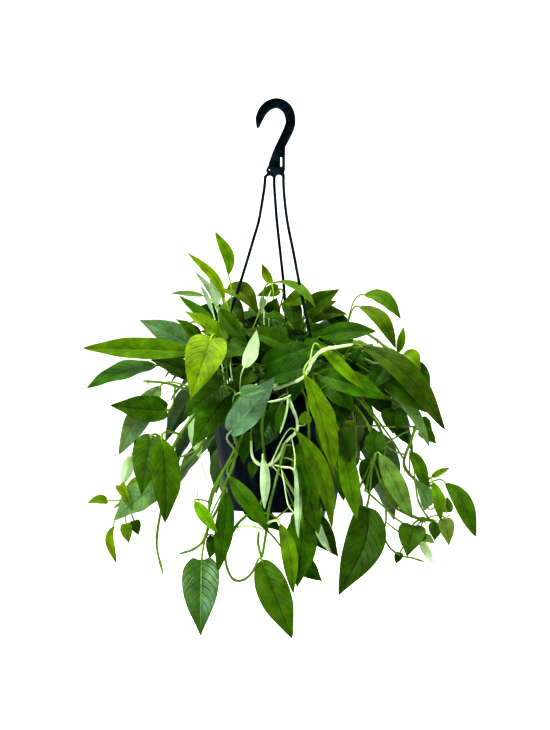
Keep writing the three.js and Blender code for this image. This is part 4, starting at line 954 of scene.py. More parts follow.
def stem_places(points):
    """The places of the solid stem's rings, with their share of its curve."""
    spans = len(points) - 1
    places = [(points[0], 0), (points[1], 1 / spans)]
    for i in range(1, spans):
        steps = max(1, math.floor(np.linalg.norm(points[i + 1] - points[i]) / STEM_STEP + 0.5))
        for j in range(1, steps + 1):
            share = (i + j / steps) / spans
            places.append((curve_point(points, share), share))
    return places


def petiole_share(places, base, length):
    """The share of the stem's curve that a petiole springs from."""
    wanted = min(max(length * PETIOLE_SHARE, SHORTEST_PETIOLE), LONGEST_PETIOLE)
    best = math.inf
    share = None
    for (first, start), (second, end) in list(zip(places, places[1:]))[2:]:
        miss = abs(np.linalg.norm((first + second) / 2 - base) - wanted)
        if miss < best:
            best = miss
            share = (start + end) / 2
    return share


def routed(radius, angle, points):
    surface = mix_height(radius)
    foot = [round_pot(radius, angle, surface + rise) for rise in (-STEM_DEPTH, STEM_RISE)]
    return [*foot, *points]


def table_leaf(row, moves):
    across, down, tip_across, tip_down, depth, tip_depth, width, roll, arch, fold, tone, *more = row
    bend = more[0] if more else 0
    root = more[1] if len(more) > 1 else None
    base = seen(across, down, depth + moves[0])
    tip = seen(tip_across, tip_down, tip_depth + moves[1])
    return {
        "base": base, "tip": tip + (base - tip) * (1 - moves[2]), "facing": np.array([0, -0.8, 0.6]),
        "width": width * moves[2], "roll": roll, "arch": arch, "fold": fold, "tone": tone,
        "bend": bend, "root": root,
    }


def back_leaf(row, moves):
    base = row["base"] - row["out"] * moves[0]
    tip = row["tip"] - row["out"] * moves[1]
    return {
        **row, "base": base, "tip": tip + (base - tip) * (1 - moves[2]),
        "facing": row["out"] * 0.8 + UP * 0.6, "width": row["width"] * moves[2], "bend": 0,
        "root": None,
    }


def kept_leaf(row, leaf_of, corners):
    """The leaf at the place where the solid stem has it, or None where it has none."""
    leaves = [leaf_of(row, moves) for moves in MOVES]
    misses = [np.min(np.linalg.norm(corners - leaf["tip"], axis=1)) for leaf in leaves]
    best = int(np.argmin(misses))
    return leaves[best] if misses[best] < TIP_MATCH else None


# The stems in view: name, angle round the pot, radius of its hole, height over the rim, radius, route
# and leaves. A route's row is across, down and depth. A leaf's is the base's across and down, the
# tip's, their depths, the width, the roll from facing the viewer, the arch, the fold in degrees, the
# tone and, where given, the bend to one side and the share of the stem that its petiole springs from
VINES = [
  ["shoot_left_tall", -165, 36, 26, 1.5, [
    [226, 366, -28], [221, 350, -34],
  ], [
    [228.5, 275.3, 215.3, 231.4, -30, -34, 14, -12, 0, 14, "lime", 0.15],
    [224.5, 300, 187.3, 252.3, -42, -60, 11, -20, 3, 14, "bright", 0.1],
    [217.4, 307, 209.5, 273, -46, -54, 13, 150, 4, 20, "green"],
    [217, 311, 194.5, 271.3, -52, -66, 8, 140, 5, 25, "green", -0.08],
    [214, 316, 199.6, 284.7, -58, -70, 7, 125, 4, 25, "green", 0.08],
    [204, 296, 170, 293.5, -4, -20, 8, -12, 3, 15, "mist"],
  ]],
  ["shoot_left_front", -150, 40, 24, 1.5, [
    [231, 368, -62], [224, 350, -76],
  ], [
    [212, 322, 178.5, 295, -74, -68, 20, 25, -3, 20, "green"],
    [199, 341, 174.9, 318.6, -86, -84, 20, 20, 3, 15, "green"],
    [210.7, 338.3, 190.3, 400.5, -128, -172, 44, -5, 8, 10, "bright"],
    [222, 341, 217, 322.5, -98, -118, 20, 10, 3, 10, "lime"],
    [219, 314, 193.5, 307.8, -22, -30, 26, -45, 8, 12, "blue"],
  ]],
  ["shoot_centre_left", -120, 26, 30, 1.5, [
    [246, 362, -40], [244, 345, -44],
  ], [
    [219, 309, 248, 343, -60, -84, 18, 35, 5, 12, "green"],
    [226.4, 302, 245.3, 324, -22, -30, 26, 20, 4, 12, "soft"],
    [226.4, 289.4, 259.4, 315.4, -6, -26, 25, 5, 8, 14, "young", -0.16],
    [236, 322, 228, 349, -72, -84, 20, 0, 3, 12, "green"],
    [250, 347, 219.3, 360, -92, -104, 34, 10, 4, 10, "green"],
  ]],
  ["shoot_centre", 60, 12, 34, 1.5, [
    [268, 360, 6], [269, 340, 0],
  ], [
    [271.5, 283, 261.3, 263.4, 0, -6, 12, -40, -5, 25, "lime", -0.1],
    [272, 282.5, 315.8, 307.8, -8, -34, 17, -20, 8, 12, "young", -0.08],
    [278.5, 289, 256.7, 296, 10, 4, 15, -30, 5, 12, "young"],
    [267, 313, 261, 296, -6, -12, 14, 160, 2, 20, "green"],
    [272, 313, 277, 297.5, -14, -22, 20, 15, 3, 15, "green"],
    [283, 316, 263, 320, -16, -32, 18, 20, 3, 12, "green"],
    [257, 324, 244.5, 320, 14, 8, 16, -40, 3, 12, "blue"],
  ]],
  ["shoot_right_back", 40, 34, 34, 1.5, [
    [300, 358, 24], [303, 338, 22],
  ], [
    [303, 296, 279.5, 305.6, 2, -14, 20, -35, 8, 12, "young"],
    [288.5, 301, 303, 343, -44, -60, 27, 8, 6, 12, "green"],
    [307, 312, 340, 289, 8, -6, 26, 25, 5, 18, "young"],
    [306, 317, 337, 301, 26, 14, 24, 10, 4, 12, "young"],
    [312, 320, 347.9, 314.3, 36, 30, 20, 15, 8, 12, "young", -0.08],
    [330, 315, 356, 331, 46, 44, 18, 30, 4, 12, "green"],
    [311, 333, 329.7, 326, -14, -22, 18, 30, 3, 12, "green"],
  ]],
  ["trail_right_top", 4, 44, 20, 1.5, [
    [340, 345, -2], [350, 328, -8], [374, 338, -24], [397, 358, -40],
  ], [
    [364.3, 294.5, 401, 319, -10, -18, 20, 0, 8, 14, "young", -0.1, 0.58],
    [359.2, 306.7, 395.9, 348.6, -24, -38, 20, 0, 9, 14, "young", -0.1, 0.61],
    [398, 353, 403.6, 327.1, -44, -46, 10, 10, 3, 20, "lime"],
    [403, 354.7, 420.4, 371, -50, -58, 20, 0, 8, 12, "lime", -0.08],
    [409, 364, 428.5, 401.5, -26, -36, 24, 10, 7, 12, "green", -0.1],
  ]],
  ["trail_right_big", -24, 46, 16, 1.7, [
    [337, 365, -44], [352, 354, -52], [370, 362, -58], [384, 370, -60],
  ], [
    [319.4, 337.3, 376.5, 331.2, -52, -66, 22, 21, 5, 12, "green", -0.06],
    [361, 346.5, 445.4, 430, -74, -100, 28, 8, 12, 12, "moss", -0.1],
    [372, 374, 428.6, 412.9, -50, -70, 24, 25, 8, 12, "green", -0.08],
    [384, 368, 370, 391, -64, -80, 26, -10, 3, 10, "olive"],
    [362, 352, 353.5, 364.4, -92, -100, 18, 0, 3, 15, "olive"],
  ]],
  ["trail_front_pale", -94, 46, 12, 1.8, [
    [275, 389, -98], [290, 383.5, -118], [303.4, 377, -132], [313, 361, -138], [322, 350.5, -138],
    [338, 347, -136], [353, 344.5, -134],
  ], [
    [290, 347, 242.6, 330, -72, -88, 24, -12, 5, 12, "green"],
    [261, 366, 315.3, 345.2, -92, -106, 26, 10, 6, 12, "olive"],
    [262, 381, 326, 363, -102, -112, 28, 6, 6, 12, "olive"],
    [304.6, 375, 333.6, 477.3, -140, -172, 31, -28, 6, 16, "young"],
    [318, 344.5, 365, 390.4, -124, -132, 14, 30, 8, 20, "lime"],
    [321, 356, 361, 390, -106, -114, 15, 30, 4, 15, "green"],
  ]],
  ["trail_silver", -121, 50, 10, 1.6, [
    [243, 392, -104], [235, 402, -114], [231, 424, -118], [237, 446, -116], [234, 462, -116],
    [228, 478, -120],
  ], [
    [244, 367.5, 256.7, 329.5, -116, -122, 18, 165, 4, 4, "green"],
    [241, 392.5, 270, 389.4, -160, -172, 15, 25, 3, 35, "frost"],
    [229.5, 432.7, 275.2, 376.7, -140, -164, 36, 5, -5, 14, "sage"],
    [222, 387, 181.6, 420, -122, -146, 34, 0, 6, 10, "green"],
    [245, 433, 243.7, 464.8, -104, -116, 20, 0, 3, 12, "green"],
    [229, 476.4, 269, 533.7, -136, -160, 22, -10, 5, 12, "green", 0.05],
  ]],
  ["trail_left_upper", 178, 48, 12, 1.5, [
    [205, 372, 8], [194, 360, -8], [184, 357, -20],
  ], [
    [192, 347, 138.8, 319.9, -18, -30, 32, -15, 5, 10, "frost"],
    [196, 352, 82.1, 348.2, -62, -86, 26, -17, 4, 10, "young"],
    [156.6, 365.3, 86.2, 388.6, -48, -70, 30, 12, 6, 10, "deep"],
    [186, 372, 150, 360, -34, -44, 28, -10, 4, 10, "green"],
  ]],
  ["trail_left_mid", -153, 50, 12, 1.4, [
    [206, 391, -52], [186, 389, -70], [165, 383, -78], [143, 381, -82],
  ], [
    [160.7, 385.7, 118.7, 455, -70, -86, 27, -15, 12, 10, "frost"],
    [166.8, 410.2, 109.7, 405.3, -88, -112, 31, -22, 0, 14, "green"],
    [193, 408, 199.5, 458.8, -58, -62, 18, 175, 4, 12, "green"],
  ]],
  ["trail_left_long", -140, 50, 12, 1.7, [
    [214, 394, -84], [197, 412, -100], [183, 430, -104], [177, 440, -102], [166, 460, -98],
    [150, 480, -96], [132, 494, -96], [114, 508, -96],
  ], [
    [151.5, 436.8, 141.3, 496, -122, -146, 34, 0, 6, 10, "green"],
    [161.7, 439.4, 164.8, 523, -116, -130, 34, -20, 6, 12, "green"],
    [141, 439, 137, 453, -84, -88, 14, -20, 2, 12, "green"],
    [131, 456, 123, 485, -76, -80, 14, 170, 3, 12, "green"],
    [156, 487, 114.5, 521, -106, -122, 38, 5, 4, 8, "mist"],
    [120, 486, 131, 507, -110, -120, 16, 10, 4, 45, "lime"],
    [134, 521, 138.5, 535.3, -88, -92, 13, 10, 2, 12, "green"],
    [126, 524, 129, 543.5, -94, -98, 14, 10, 2, 15, "lime"],
    [113.8, 526, 115.8, 563.9, -98, -108, 10, -10, 6, 12, "lime", 0.22],
    [106.6, 500.6, 86.7, 503.7, -100, -106, 13, 0, 4, 12, "young"],
  ]],
  ["trail_left_bare", -130, 52, 12, 1.5, [
    [224, 400, -98], [207, 432, -88], [197.5, 451.6, -84], [178, 470, -84], [166, 492, -84],
    [161.7, 507, -84], [156.6, 543, -88], [162.8, 574, -90],
  ], [
    [218, 374, 187, 402, -106, -124, 26, 0, 4, 10, "green"],
    [229, 394, 191.8, 448, -112, -132, 36, -10, 6, 10, "green"],
  ]],
  ["trail_front_left", -112, 52, 10, 1.5, [
    [254, 400, -110], [246, 425, -112], [240, 440, -112], [226, 466, -110], [212, 492, -112],
    [209, 512, -114], [208, 528, -116], [202.5, 542, -116], [192, 550, -114], [179, 554, -114],
  ], [
    [227, 491, 218, 572.4, -128, -140, 21, -10, 4, 12, "green"],
    [195, 502, 217.4, 533.2, -128, -140, 15, 20, 3, 25, "lime"],
    [214, 537, 209.3, 559.2, -110, -116, 16, -10, 2, 12, "green"],
    [201.6, 560.2, 200.6, 636.7, -124, -150, 42, 6, 5, 12, "blue"],
  ]],
  ["trail_front_loop", -103, 52, 10, 1.6, [
    [266, 402, -112], [262, 425, -114], [264, 452, -112], [266, 480, -112], [260, 505, -116],
    [246, 516, -122], [236, 526.5, -126], [227, 545, -128], [225.6, 561, -128], [231, 577, -126],
    [239, 581, -124], [248, 577, -120], [256.7, 566, -116],
  ], [
    [272, 417, 255, 452, -94, -104, 32, -15, 4, 10, "blue"],
    [262.5, 457, 264.6, 509.5, -130, -136, 12, 172, 3, 15, "green", 0.07],
    [253, 462, 252, 479.6, -112, -116, 12, 0, 2, 12, "green"],
    [279.7, 523.5, 293.5, 593.9, -124, -142, 18, 15, 5, 12, "young", -0.1],
    [261.8, 560.2, 292.4, 639.3, -130, -158, 36, 8, 5, 12, "grass", 0, 0.98],
  ]],
  ["trail_front_u", -85, 50, 10, 1.7, [
    [291, 404, -108], [297, 420, -118], [296, 432, -122], [286, 442, -124], [281, 453, -124],
    [275, 461, -124], [266, 466, -126], [257, 463, -126], [252, 455, -124], [251, 440, -120],
  ], [
    [277, 402, 274, 438, -100, -106, 22, -20, 3, 12, "green"],
    [290, 447, 276, 468, -104, -108, 24, 0, 3, 12, "green"],
    [284, 401, 277, 439.4, -130, -138, 22, 50, 6, 40, "green"],
    [305, 424, 305, 411, -124, -118, 14, 0, 3, 10, "young"],
    [295.6, 431, 332, 528.4, -142, -174, 25, -25, 8, 14, "young", -0.06],
    [294.7, 465.7, 299, 539, -138, -150, 11, 150, 8, 20, "green", 0.13],
    [296, 514, 295, 531, -128, -132, 10, 55, 2, 30, "green"],
  ]],
  ["trail_bottom", -76, 50, 10, 1.5, [
    [307, 404, -104], [309, 440, -104], [307, 480, -102], [304, 505, -100], [301, 530, -98],
    [299, 548, -98],
  ], [
    [300, 442, 318, 510, -108, -120, 30, 20, 5, 10, "green"],
    [305, 478, 318.6, 534.6, -114, -124, 24, 10, 4, 10, "green"],
    [303, 518, 338.7, 557.4, -90, -102, 34, 0, 4, 10, "green"],
    [316.8, 515, 332, 554.3, -112, -120, 13, 150, 3, 15, "green"],
    [302, 520, 297, 588, -106, -114, 36, -10, 4, 10, "green"],
    [300, 560, 322.6, 581.6, -98, -102, 22, 10, -5, 12, "green"],
  ]],
  ["trail_front_right", -67, 50, 10, 1.6, [
    [325, 402, -98], [332, 418, -108], [334, 440, -110], [334, 462, -104],
  ], [
    [316, 374, 387, 399.5, -106, -122, 30, 10, 8, 10, "green"],
    [331, 386, 353, 412, -88, -98, 30, 5, 5, 12, "green"],
    [344, 396, 337, 429, -96, -102, 28, 0, 5, 12, "green"],
    [330, 420, 322, 455, -96, -102, 28, -5, 5, 12, "green"],
    [347, 430, 355, 420.2, -120, -126, 14, 0, 2, 25, "young"],
    [338, 430, 350, 462, -94, -100, 30, 0, 4, 10, "olive"],
    [341.5, 442.5, 356.8, 519.3, -124, -142, 22, 10, 5, 16, "young"],
    [337, 470, 343.8, 501.4, -92, -96, 14, 0, 3, 12, "green"],
  ]],
  ["trail_right_drop", -45, 50, 12, 1.7, [
    [346, 398, -76], [362, 415, -86], [372, 436, -92], [375, 455, -94], [369, 474, -98],
    [365, 492, -104],
  ], [
    [374.6, 453, 373.8, 427.8, -98, -88, 24, 0, 5, 12, "green"],
    [372, 460, 369, 494, -82, -86, 28, 0, 4, 10, "green"],
    [379.9, 454, 412.7, 519, -106, -126, 22, 15, 6, 12, "soft"],
    [366.8, 507, 338.7, 595.8, -120, -152, 44, -8, 6, 12, "olive", -0.12],
  ]],
  ["trail_right_low", -35, 52, 12, 1.5, [
    [354, 396, -60], [372, 416, -70], [384, 440, -74], [383, 470, -76], [388, 500, -80],
    [411, 516, -86], [436, 522, -90],
  ], [
    [388, 478, 397.3, 511.2, -90, -98, 19, 0, 4, 12, "soft"],
    [413, 525.7, 407, 557, -102, -122, 31, 0, 4, 12, "green"],
    [423, 538, 434.5, 543.5, -112, -116, 12, 0, 2, 15, "soft"],
    [421, 541, 433.5, 563.5, -108, -118, 13, 160, 2, 12, "soft", 0.12],
    [436, 523, 434.6, 541, -98, -104, 16, 0, 2, 12, "green"],
    [445, 519, 449, 546, -94, -102, 18, 0, 3, 12, "soft"],
  ]],
  ["trail_right_long", -12, 52, 14, 1.6, [
    [352, 380, -26], [375, 390, -36], [398, 404, -44], [416, 419, -50], [412, 438, -52],
    [404, 464, -54], [418, 482, -58], [434, 487, -62], [444, 498, -64], [443, 512, -66],
  ], [
    [384.7, 389.4, 429.7, 447.4, -96, -116, 17, -12, 6, 16, "mist", -0.1],
    [394, 409, 393, 434, -54, -66, 30, 0, 4, 10, "olive"],
    [418, 423, 432.2, 431.6, -36, -38, 20, 10, 3, 12, "green"],
    [421, 431, 436.3, 444, -42, -46, 16, 10, 3, 15, "green"],
    [397, 429, 408.9, 444.9, -34, -38, 14, 0, 2, 12, "green"],
    [410.7, 451.9, 430, 492, -64, -78, 16, 35, 8, 12, "young", -0.14],
    [431.7, 477.2, 450, 468, -68, -74, 8, 20, 3, 20, "lime"],
    [428, 507, 414.3, 480, -86, -92, 25, 20, 4, 10, "mist"],
    [432.5, 482, 441, 521, -72, -82, 13, 10, 4, 12, "young", -0.08],
    [447, 512, 447.5, 497, -58, -54, 14, 0, 2, 10, "lime"],
    [445.4, 483, 476.5, 537.3, -80, -98, 21, 25, 10, 12, "green", -0.12],
  ]],
  ["shoot_inner_left", -100, 14, 30, 1.5, [
    [250, 372, -52], [247, 358, -58],
  ], [
    [236, 353, 258, 338, -52, -60, 28, 0, 4, 12, "olive"],
    [252, 372, 229, 392, -84, -92, 30, 0, 5, 12, "green"],
    [262, 371, 240, 399, -88, -98, 30, 0, 5, 12, "green"],
    [222, 370, 204, 398, -84, -96, 28, 0, 5, 12, "green"],
    [270, 350, 258, 322, -20, -34, 28, 10, 4, 12, "green"],
  ]],
  ["shoot_inner_right", -30, 14, 30, 1.5, [
    [303, 372, -40], [306, 356, -44],
  ], [
    [290, 372, 266, 396, -84, -92, 30, 0, 5, 12, "green"],
    [300, 378, 291, 409, -88, -96, 28, 10, 5, 12, "green"],
    [312, 370, 340, 392, -78, -90, 30, 10, 5, 12, "green"],
    [302, 352, 332, 352, -62, -74, 30, 10, 5, 12, "olive"],
    [322, 362, 352, 374, -68, -80, 28, 15, 5, 12, "green"],
    [334, 348, 360, 372, -36, -48, 30, 10, 4, 12, "olive"],
    [283, 338, 268, 352, -56, -66, 28, 0, 4, 12, "olive"],
  ]],
]

# Thin stems and stalks beside each vine: thickness, colour and route
THREADS = {
    "trail_left_bare": [
      [0.8, "green", [[176, 459, -92], [188, 454, -92], [199, 449, -92]]],
      [0.7, "pale", [[200, 455, -98], [202, 465, -99], [205, 475, -99], [210, 484, -100]]],
    ],
    "trail_front_left": [
      [0.7, "pale", [[198, 487, -110], [197, 493, -110], [199, 502, -110], [206, 511, -112]]],
      [1.2, "green", [
        [241, 437, -112], [236, 455, -114], [233, 468, -114], [226, 482, -113], [222, 497, -113],
        [216, 512, -114], [209, 524, -115],
      ]],
      [1.0, "green", [
        [236, 446, -115], [231, 457, -117], [225, 468, -117], [219, 481, -116], [213, 495, -115],
        [210, 508, -114],
      ]],
    ],
    "trail_front_u": [
      [1.3, "green", [
        [286, 443, -126], [281, 462, -128], [277, 476, -128], [273, 492, -127], [269, 508, -126],
        [267, 525, -126], [265, 540, -127], [262, 558, -129],
      ]],
      [0.8, "pale", [[281, 468, -128], [284, 482, -128], [288, 504, -127], [295, 514, -128]]],
      [0.8, "green", [[282, 470, -128], [288, 482, -127], [295, 492, -125], [299, 500, -122]]],
      [0.9, "green", [[251, 444, -121], [251, 434, -119], [252, 425, -115], [252, 416, -110]]],
      [1.2, "pale", [[268, 402, -130], [276, 401, -132], [284, 399, -133], [291, 395, -133]]],
      [1.2, "pale", [[288, 398, -133], [287, 409, -134], [284, 421, -135], [280, 433, -136]]],
      [1.0, "pale", [[274, 465, -127], [283, 467, -129], [291, 468, -132], [296, 472, -136]]],
    ],
    "trail_bottom": [
      [0.8, "green", [
        [281, 468, -112], [286, 486, -110], [292, 501, -108], [298, 516, -104], [302, 526, -99],
      ]],
      [0.8, "green", [
        [304, 493, -101], [296, 501, -108], [285, 511, -116], [275, 519, -121], [267, 526, -125],
      ]],
    ],
    "trail_front_loop": [
      [1.1, "pale", [[266, 524, -127], [272, 521, -128], [278, 521, -128], [280, 526, -127]]],
      [1.3, "green", [[259, 531, -125], [258, 543, -125], [261, 557, -128]]],
      [0.9, "green", [[267, 530, -126], [275, 539, -124], [285, 552, -122]]],
      [1.2, "pale", [[235, 529, -127], [243, 526, -127], [253, 527, -127], [264, 530, -127]]],
    ],
    "trail_front_right": [
      [0.8, "pale", [[334, 434, -112], [343, 430, -118], [350, 428, -120]]],
    ],
    "trail_right_low": [
      [1.1, "green", [[374, 453, -92], [370, 465, -97], [364, 478, -101], [359, 489, -104]]],
      [1.0, "green", [
        [374, 462, -94], [380, 480, -94], [388, 494, -92], [396, 504, -92], [406, 512, -90],
        [418, 518, -88], [431, 521, -89],
      ]],
      [0.9, "green", [
        [365, 490, -102], [374, 498, -101], [384, 507, -101], [394, 517, -101], [404, 524, -102],
        [413, 529, -102],
      ]],
      [0.7, "green", [[386, 522, -101], [396, 530, -103], [406, 536, -106], [419, 539, -111]]],
      [0.9, "green", [
        [386, 500, -82], [386, 520, -88], [384, 536, -96], [391, 549, -102], [402, 556, -104],
        [412, 558, -105], [424, 562, -106],
      ]],
      [0.7, "pale", [[440, 521, -92], [449, 516, -93], [460, 512, -93]]],
    ],
    "trail_right_long": [
      [0.8, "green", [[380, 447, -74], [390, 441, -68], [400, 435, -60], [411, 430, -53]]],
      [0.7, "green", [[366, 426, -86], [380, 426, -74], [394, 427, -62], [411, 426, -52]]],
      [0.9, "green", [
        [361, 398, -60], [372, 412, -66], [382, 426, -68], [392, 440, -64], [404, 460, -55],
      ]],
      [0.9, "green", [
        [414, 472, -57], [416, 487, -66], [418, 500, -76], [424, 512, -84], [431, 521, -89],
      ]],
    ],
    "trail_right_drop": [
      [0.8, "green", [[374, 440, -92], [384, 445, -84], [396, 452, -70], [407, 455, -54]]],
    ],
    "shoot_left_front": [
      [0.9, "green", [[227, 398, -52], [222, 386, -80], [219, 373, -95], [216, 358, -102]]],
      [0.8, "pale", [[229, 398, -52], [225, 385, -82], [223, 371, -97], [220, 356, -103]]],
      [0.9, "green", [[232, 398, -56], [229, 384, -84], [227, 370, -96], [225, 358, -100]]],
      [0.8, "pale", [[236, 398, -60], [233, 384, -88], [231, 372, -98], [230, 362, -102]]],
    ],
    "shoot_centre_left": [
      [0.8, "green", [[244, 345, -44], [252, 330, -42], [258, 316, -36], [261, 304, -30]]],
    ],
    "shoot_centre": [
      [0.9, "pale", [[269, 340, 0], [264, 322, -6], [266, 306, -8], [271, 290, -6]]],
    ],
}

# Further leaves between those of the table, in the same way
SMALL_LEAVES = {
    "trail_front_loop": [[246, 508, 282, 532, -70, -62, 26, 0, 3, 12, "green"]],
    "shoot_left_front": [
      [226, 341, 184, 311, -90, -88, 26, 20, 3, 14, "bright"],
      [240, 372, 214, 350, 6, 0, 32, 0, 4, 12, "olive"],
    ],
    "trail_front_u": [[296, 464, 305, 509, -126, -134, 17, -40, 4, 14, "green", -0.08]],
    "shoot_inner_left": [[268, 376, 246, 350, 8, 0, 34, 0, 4, 12, "olive"]],
    "trail_left_long": [[154, 484, 118, 504, -84, -90, 34, 5, 4, 12, "lime"]],
    "trail_right_big": [
      [366, 372, 396, 394, -36, -48, 32, 10, 4, 12, "olive"],
      [352, 354, 378, 374, -26, -34, 26, 0, 3, 12, "olive"],
      [374, 392, 390, 418, -30, -36, 28, 0, 3, 12, "olive"],
    ],
    "trail_right_low": [[400, 553, 396, 564, -102, -104, 10, 0, 2, 12, "olive"]],
}

# Leaves that fill the crown: the stems they grow on, the outline that they keep to in the picture,
# how many places are tried, how much smaller the later ones are, their least distance to others,
# how far behind or beside a leaf in view they are, in millimetres and pixels, and their least height
FILL_HOSTS = {
    "shoot_left_front", "shoot_centre_left", "shoot_centre", "shoot_right_back", "shoot_inner_left",
    "shoot_inner_right", "shoot_left_tall", "crown_back_right", "crown_back_middle", "crown_back_left",
    "trail_right_top", "trail_right_big", "trail_left_upper",
}
FILL_EDGE = [
    (168, 352), (186, 312), (206, 306), (232, 290), (262, 292), (300, 294), (330, 292), (345, 318),
    (372, 330), (398, 352), (420, 388), (426, 425), (402, 430), (380, 420), (350, 412), (200, 412),
    (196, 380),
]
FILL_TRIES = 4000
FILL_SMALL = 0.65
FILL_ROWS = 9
FILL_GAP = 3.0
FILL_BEHIND = 3
FILL_BESIDE = 6
FILL_LOW = -350
FILL_SEED = 23
FILL_TONES = ["green", "green", "olive", "young", "blue"]
FRONT = {row[0] for row in VINES}
FORWARD = np.array([0.0, 1.0, 0.0])

# Stems at the back: angle round the pot, joints with a leaf, the first leaf's length, the sway
BACK = [
    ["trail_back_right", 38, 6, 100, 6],
    ["trail_back_middle_right", 62, 6, 96, 4],
    ["trail_back_middle", 84, 6, 100, -4],
    ["trail_back_middle_left", 106, 6, 98, 4],
    ["trail_back_left", 128, 6, 92, -4],
]
BACK_HOLE = 50
BACK_THICK = 1.6
BACK_OVER = 12
BACK_REACH = 98
BACK_BULGE = 22
BACK_SEED = 1009
BACK_SEED_STEP = 97
JOINT_DROP = 17
# Upright stems behind the crown: angle, radius of the hole, leaves, the first leaf's length
CROWN = [
    ["crown_back_right", 36, 44, 6, 84],
    ["crown_back_middle", 92, 34, 7, 84],
    ["crown_back_left", 138, 40, 6, 86],
]
CROWN_THICK = 1.5
CROWN_SEED = 4001
CROWN_SEED_STEP = 89
CROWN_ROUTE = [[6, 0, 14], [12, 4, 34], [14, 8, 52]]
CHAIN_FACTOR = 16807
CHAIN_LENGTH = 2147483647


def draws(seed):
    """Draws that the solids repeat: a Park-Miller chain with its own seed."""
    state = [seed]

    def draw(low, high):
        state[0] = state[0] * CHAIN_FACTOR % CHAIN_LENGTH
        return low + (high - low) * (state[0] / CHAIN_LENGTH)

    return draw


def drawn_tone(draw):
    names = ["green", "blue", "green", "olive"]
    return names[math.floor(draw(0, len(names)))]


def back_route(angle, joints, sway):
    points = []
    for i in range(joints + 1):
        out = BACK_REACH + BACK_BULGE * math.sin(min(i / 4, 1) * 1.4)
        points.append(round_pot(out, angle + sway * i / joints, RIM_TOP + 4 - JOINT_DROP * i))
    return points


def back_leaves(angle, joints, length, sway, index):
    """Leaves along a trailing stem, alternately to its left and right and hanging down."""
    draw = draws(BACK_SEED + BACK_SEED_STEP * index)
    leaves = []
    for i, joint in enumerate(back_route(angle, joints, sway)):
        out = outwards(angle + sway * i / joints)
        round_way = np.array([-out[1], out[0], 0]) * (1 if i % 2 else -1)
        long = length * (1 - 0.35 * (i / joints)) * draw(0.9, 1.1)
        base = joint + UP * (draw(14, 30) - (18 if i == joints else 0))
        base = base + out * draw(16, 26)
        base = base + round_way * draw(8, 16)
        tip = base + out * long * draw(0.12, 0.37)
        tip = tip + round_way * long * draw(0.15, 0.6)
        tip = tip - UP * math.sqrt(max(long ** 2 - np.sum((base - tip) ** 2), 0))
        leaves.append({
            "base": base, "tip": tip, "out": out, "width": long * draw(0.36, 0.44),
            "roll": draw(-15, 15), "arch": long * draw(0.05, 0.1), "fold": draw(8, 18),
            "tone": drawn_tone(draw),
        })
    return leaves


def crown_leaves(angle, places, count, length, index):
    """Leaves round an upright stem, alternately to its left and right and leaning outwards."""
    draw = draws(CROWN_SEED + CROWN_SEED_STEP * index)
    top = places[-1][0]
    foot = places[3][0]
    leaves = []
    for i in range(count):
        out = outwards(angle + (1 if i % 2 else -1) * draw(20, 75))
        long = length * draw(0.78, 1.08)
        base = top + (foot - top) * (0.8 * i / count)
        base = base + out * draw(20, 32)
        base = base + UP * (draw(12, 20) - 6 * i)
        tip = base + out * 0.8 * long
        tip = tip - UP * long * draw(0.35, 0.7)
        leaves.append({
            "base": base, "tip": tip, "out": out * 0.35 + UP * 0.4, "width": long * draw(0.36, 0.44),
            "roll": draw(-20, 20), "arch": long * draw(0.1, 0.18), "fold": draw(10, 18),
            "tone": drawn_tone(draw),
        })
    return leaves


def leaf_axes(leaf):
    """A blade's length, its direction, the way its top faces and the way to its side."""
    chord = leaf["tip"] - leaf["base"]
    length = np.linalg.norm(chord)
    along = chord / length
    face = unit(leaf["facing"] - along * np.dot(leaf["facing"], along))
    roll = math.radians(leaf["roll"])
    face = face * math.cos(roll) + np.cross(along, face) * math.sin(roll)
    return length, along, face, np.cross(along, face)


def blade_outline(s, ratio):
    """The share of its half width that a blade has at a share of its length. A narrow blade, whose
    ratio of width to length is small, is widest nearer its middle."""
    broad = smooth(0.3, 0.54, ratio)
    swell = 0.76 - 0.34 * broad
    point = 0.88 + 0.18 * broad
    widest = swell / (swell + point)
    taper = 1 - 0.14 * smooth(0.6, 0.92, s)
    return s ** swell * (1 - s) ** point / (widest ** swell * (1 - widest) ** point) * taper


def tone_colour(tone, rnd):
    shift = rnd.uniform(-0.16, 0.16)
    bright = rnd.uniform(0.72, 1.16)
    red, green, blue = TONES[tone]
    return np.array([red * (1 + shift), green, blue * (1 - shift)]) * bright


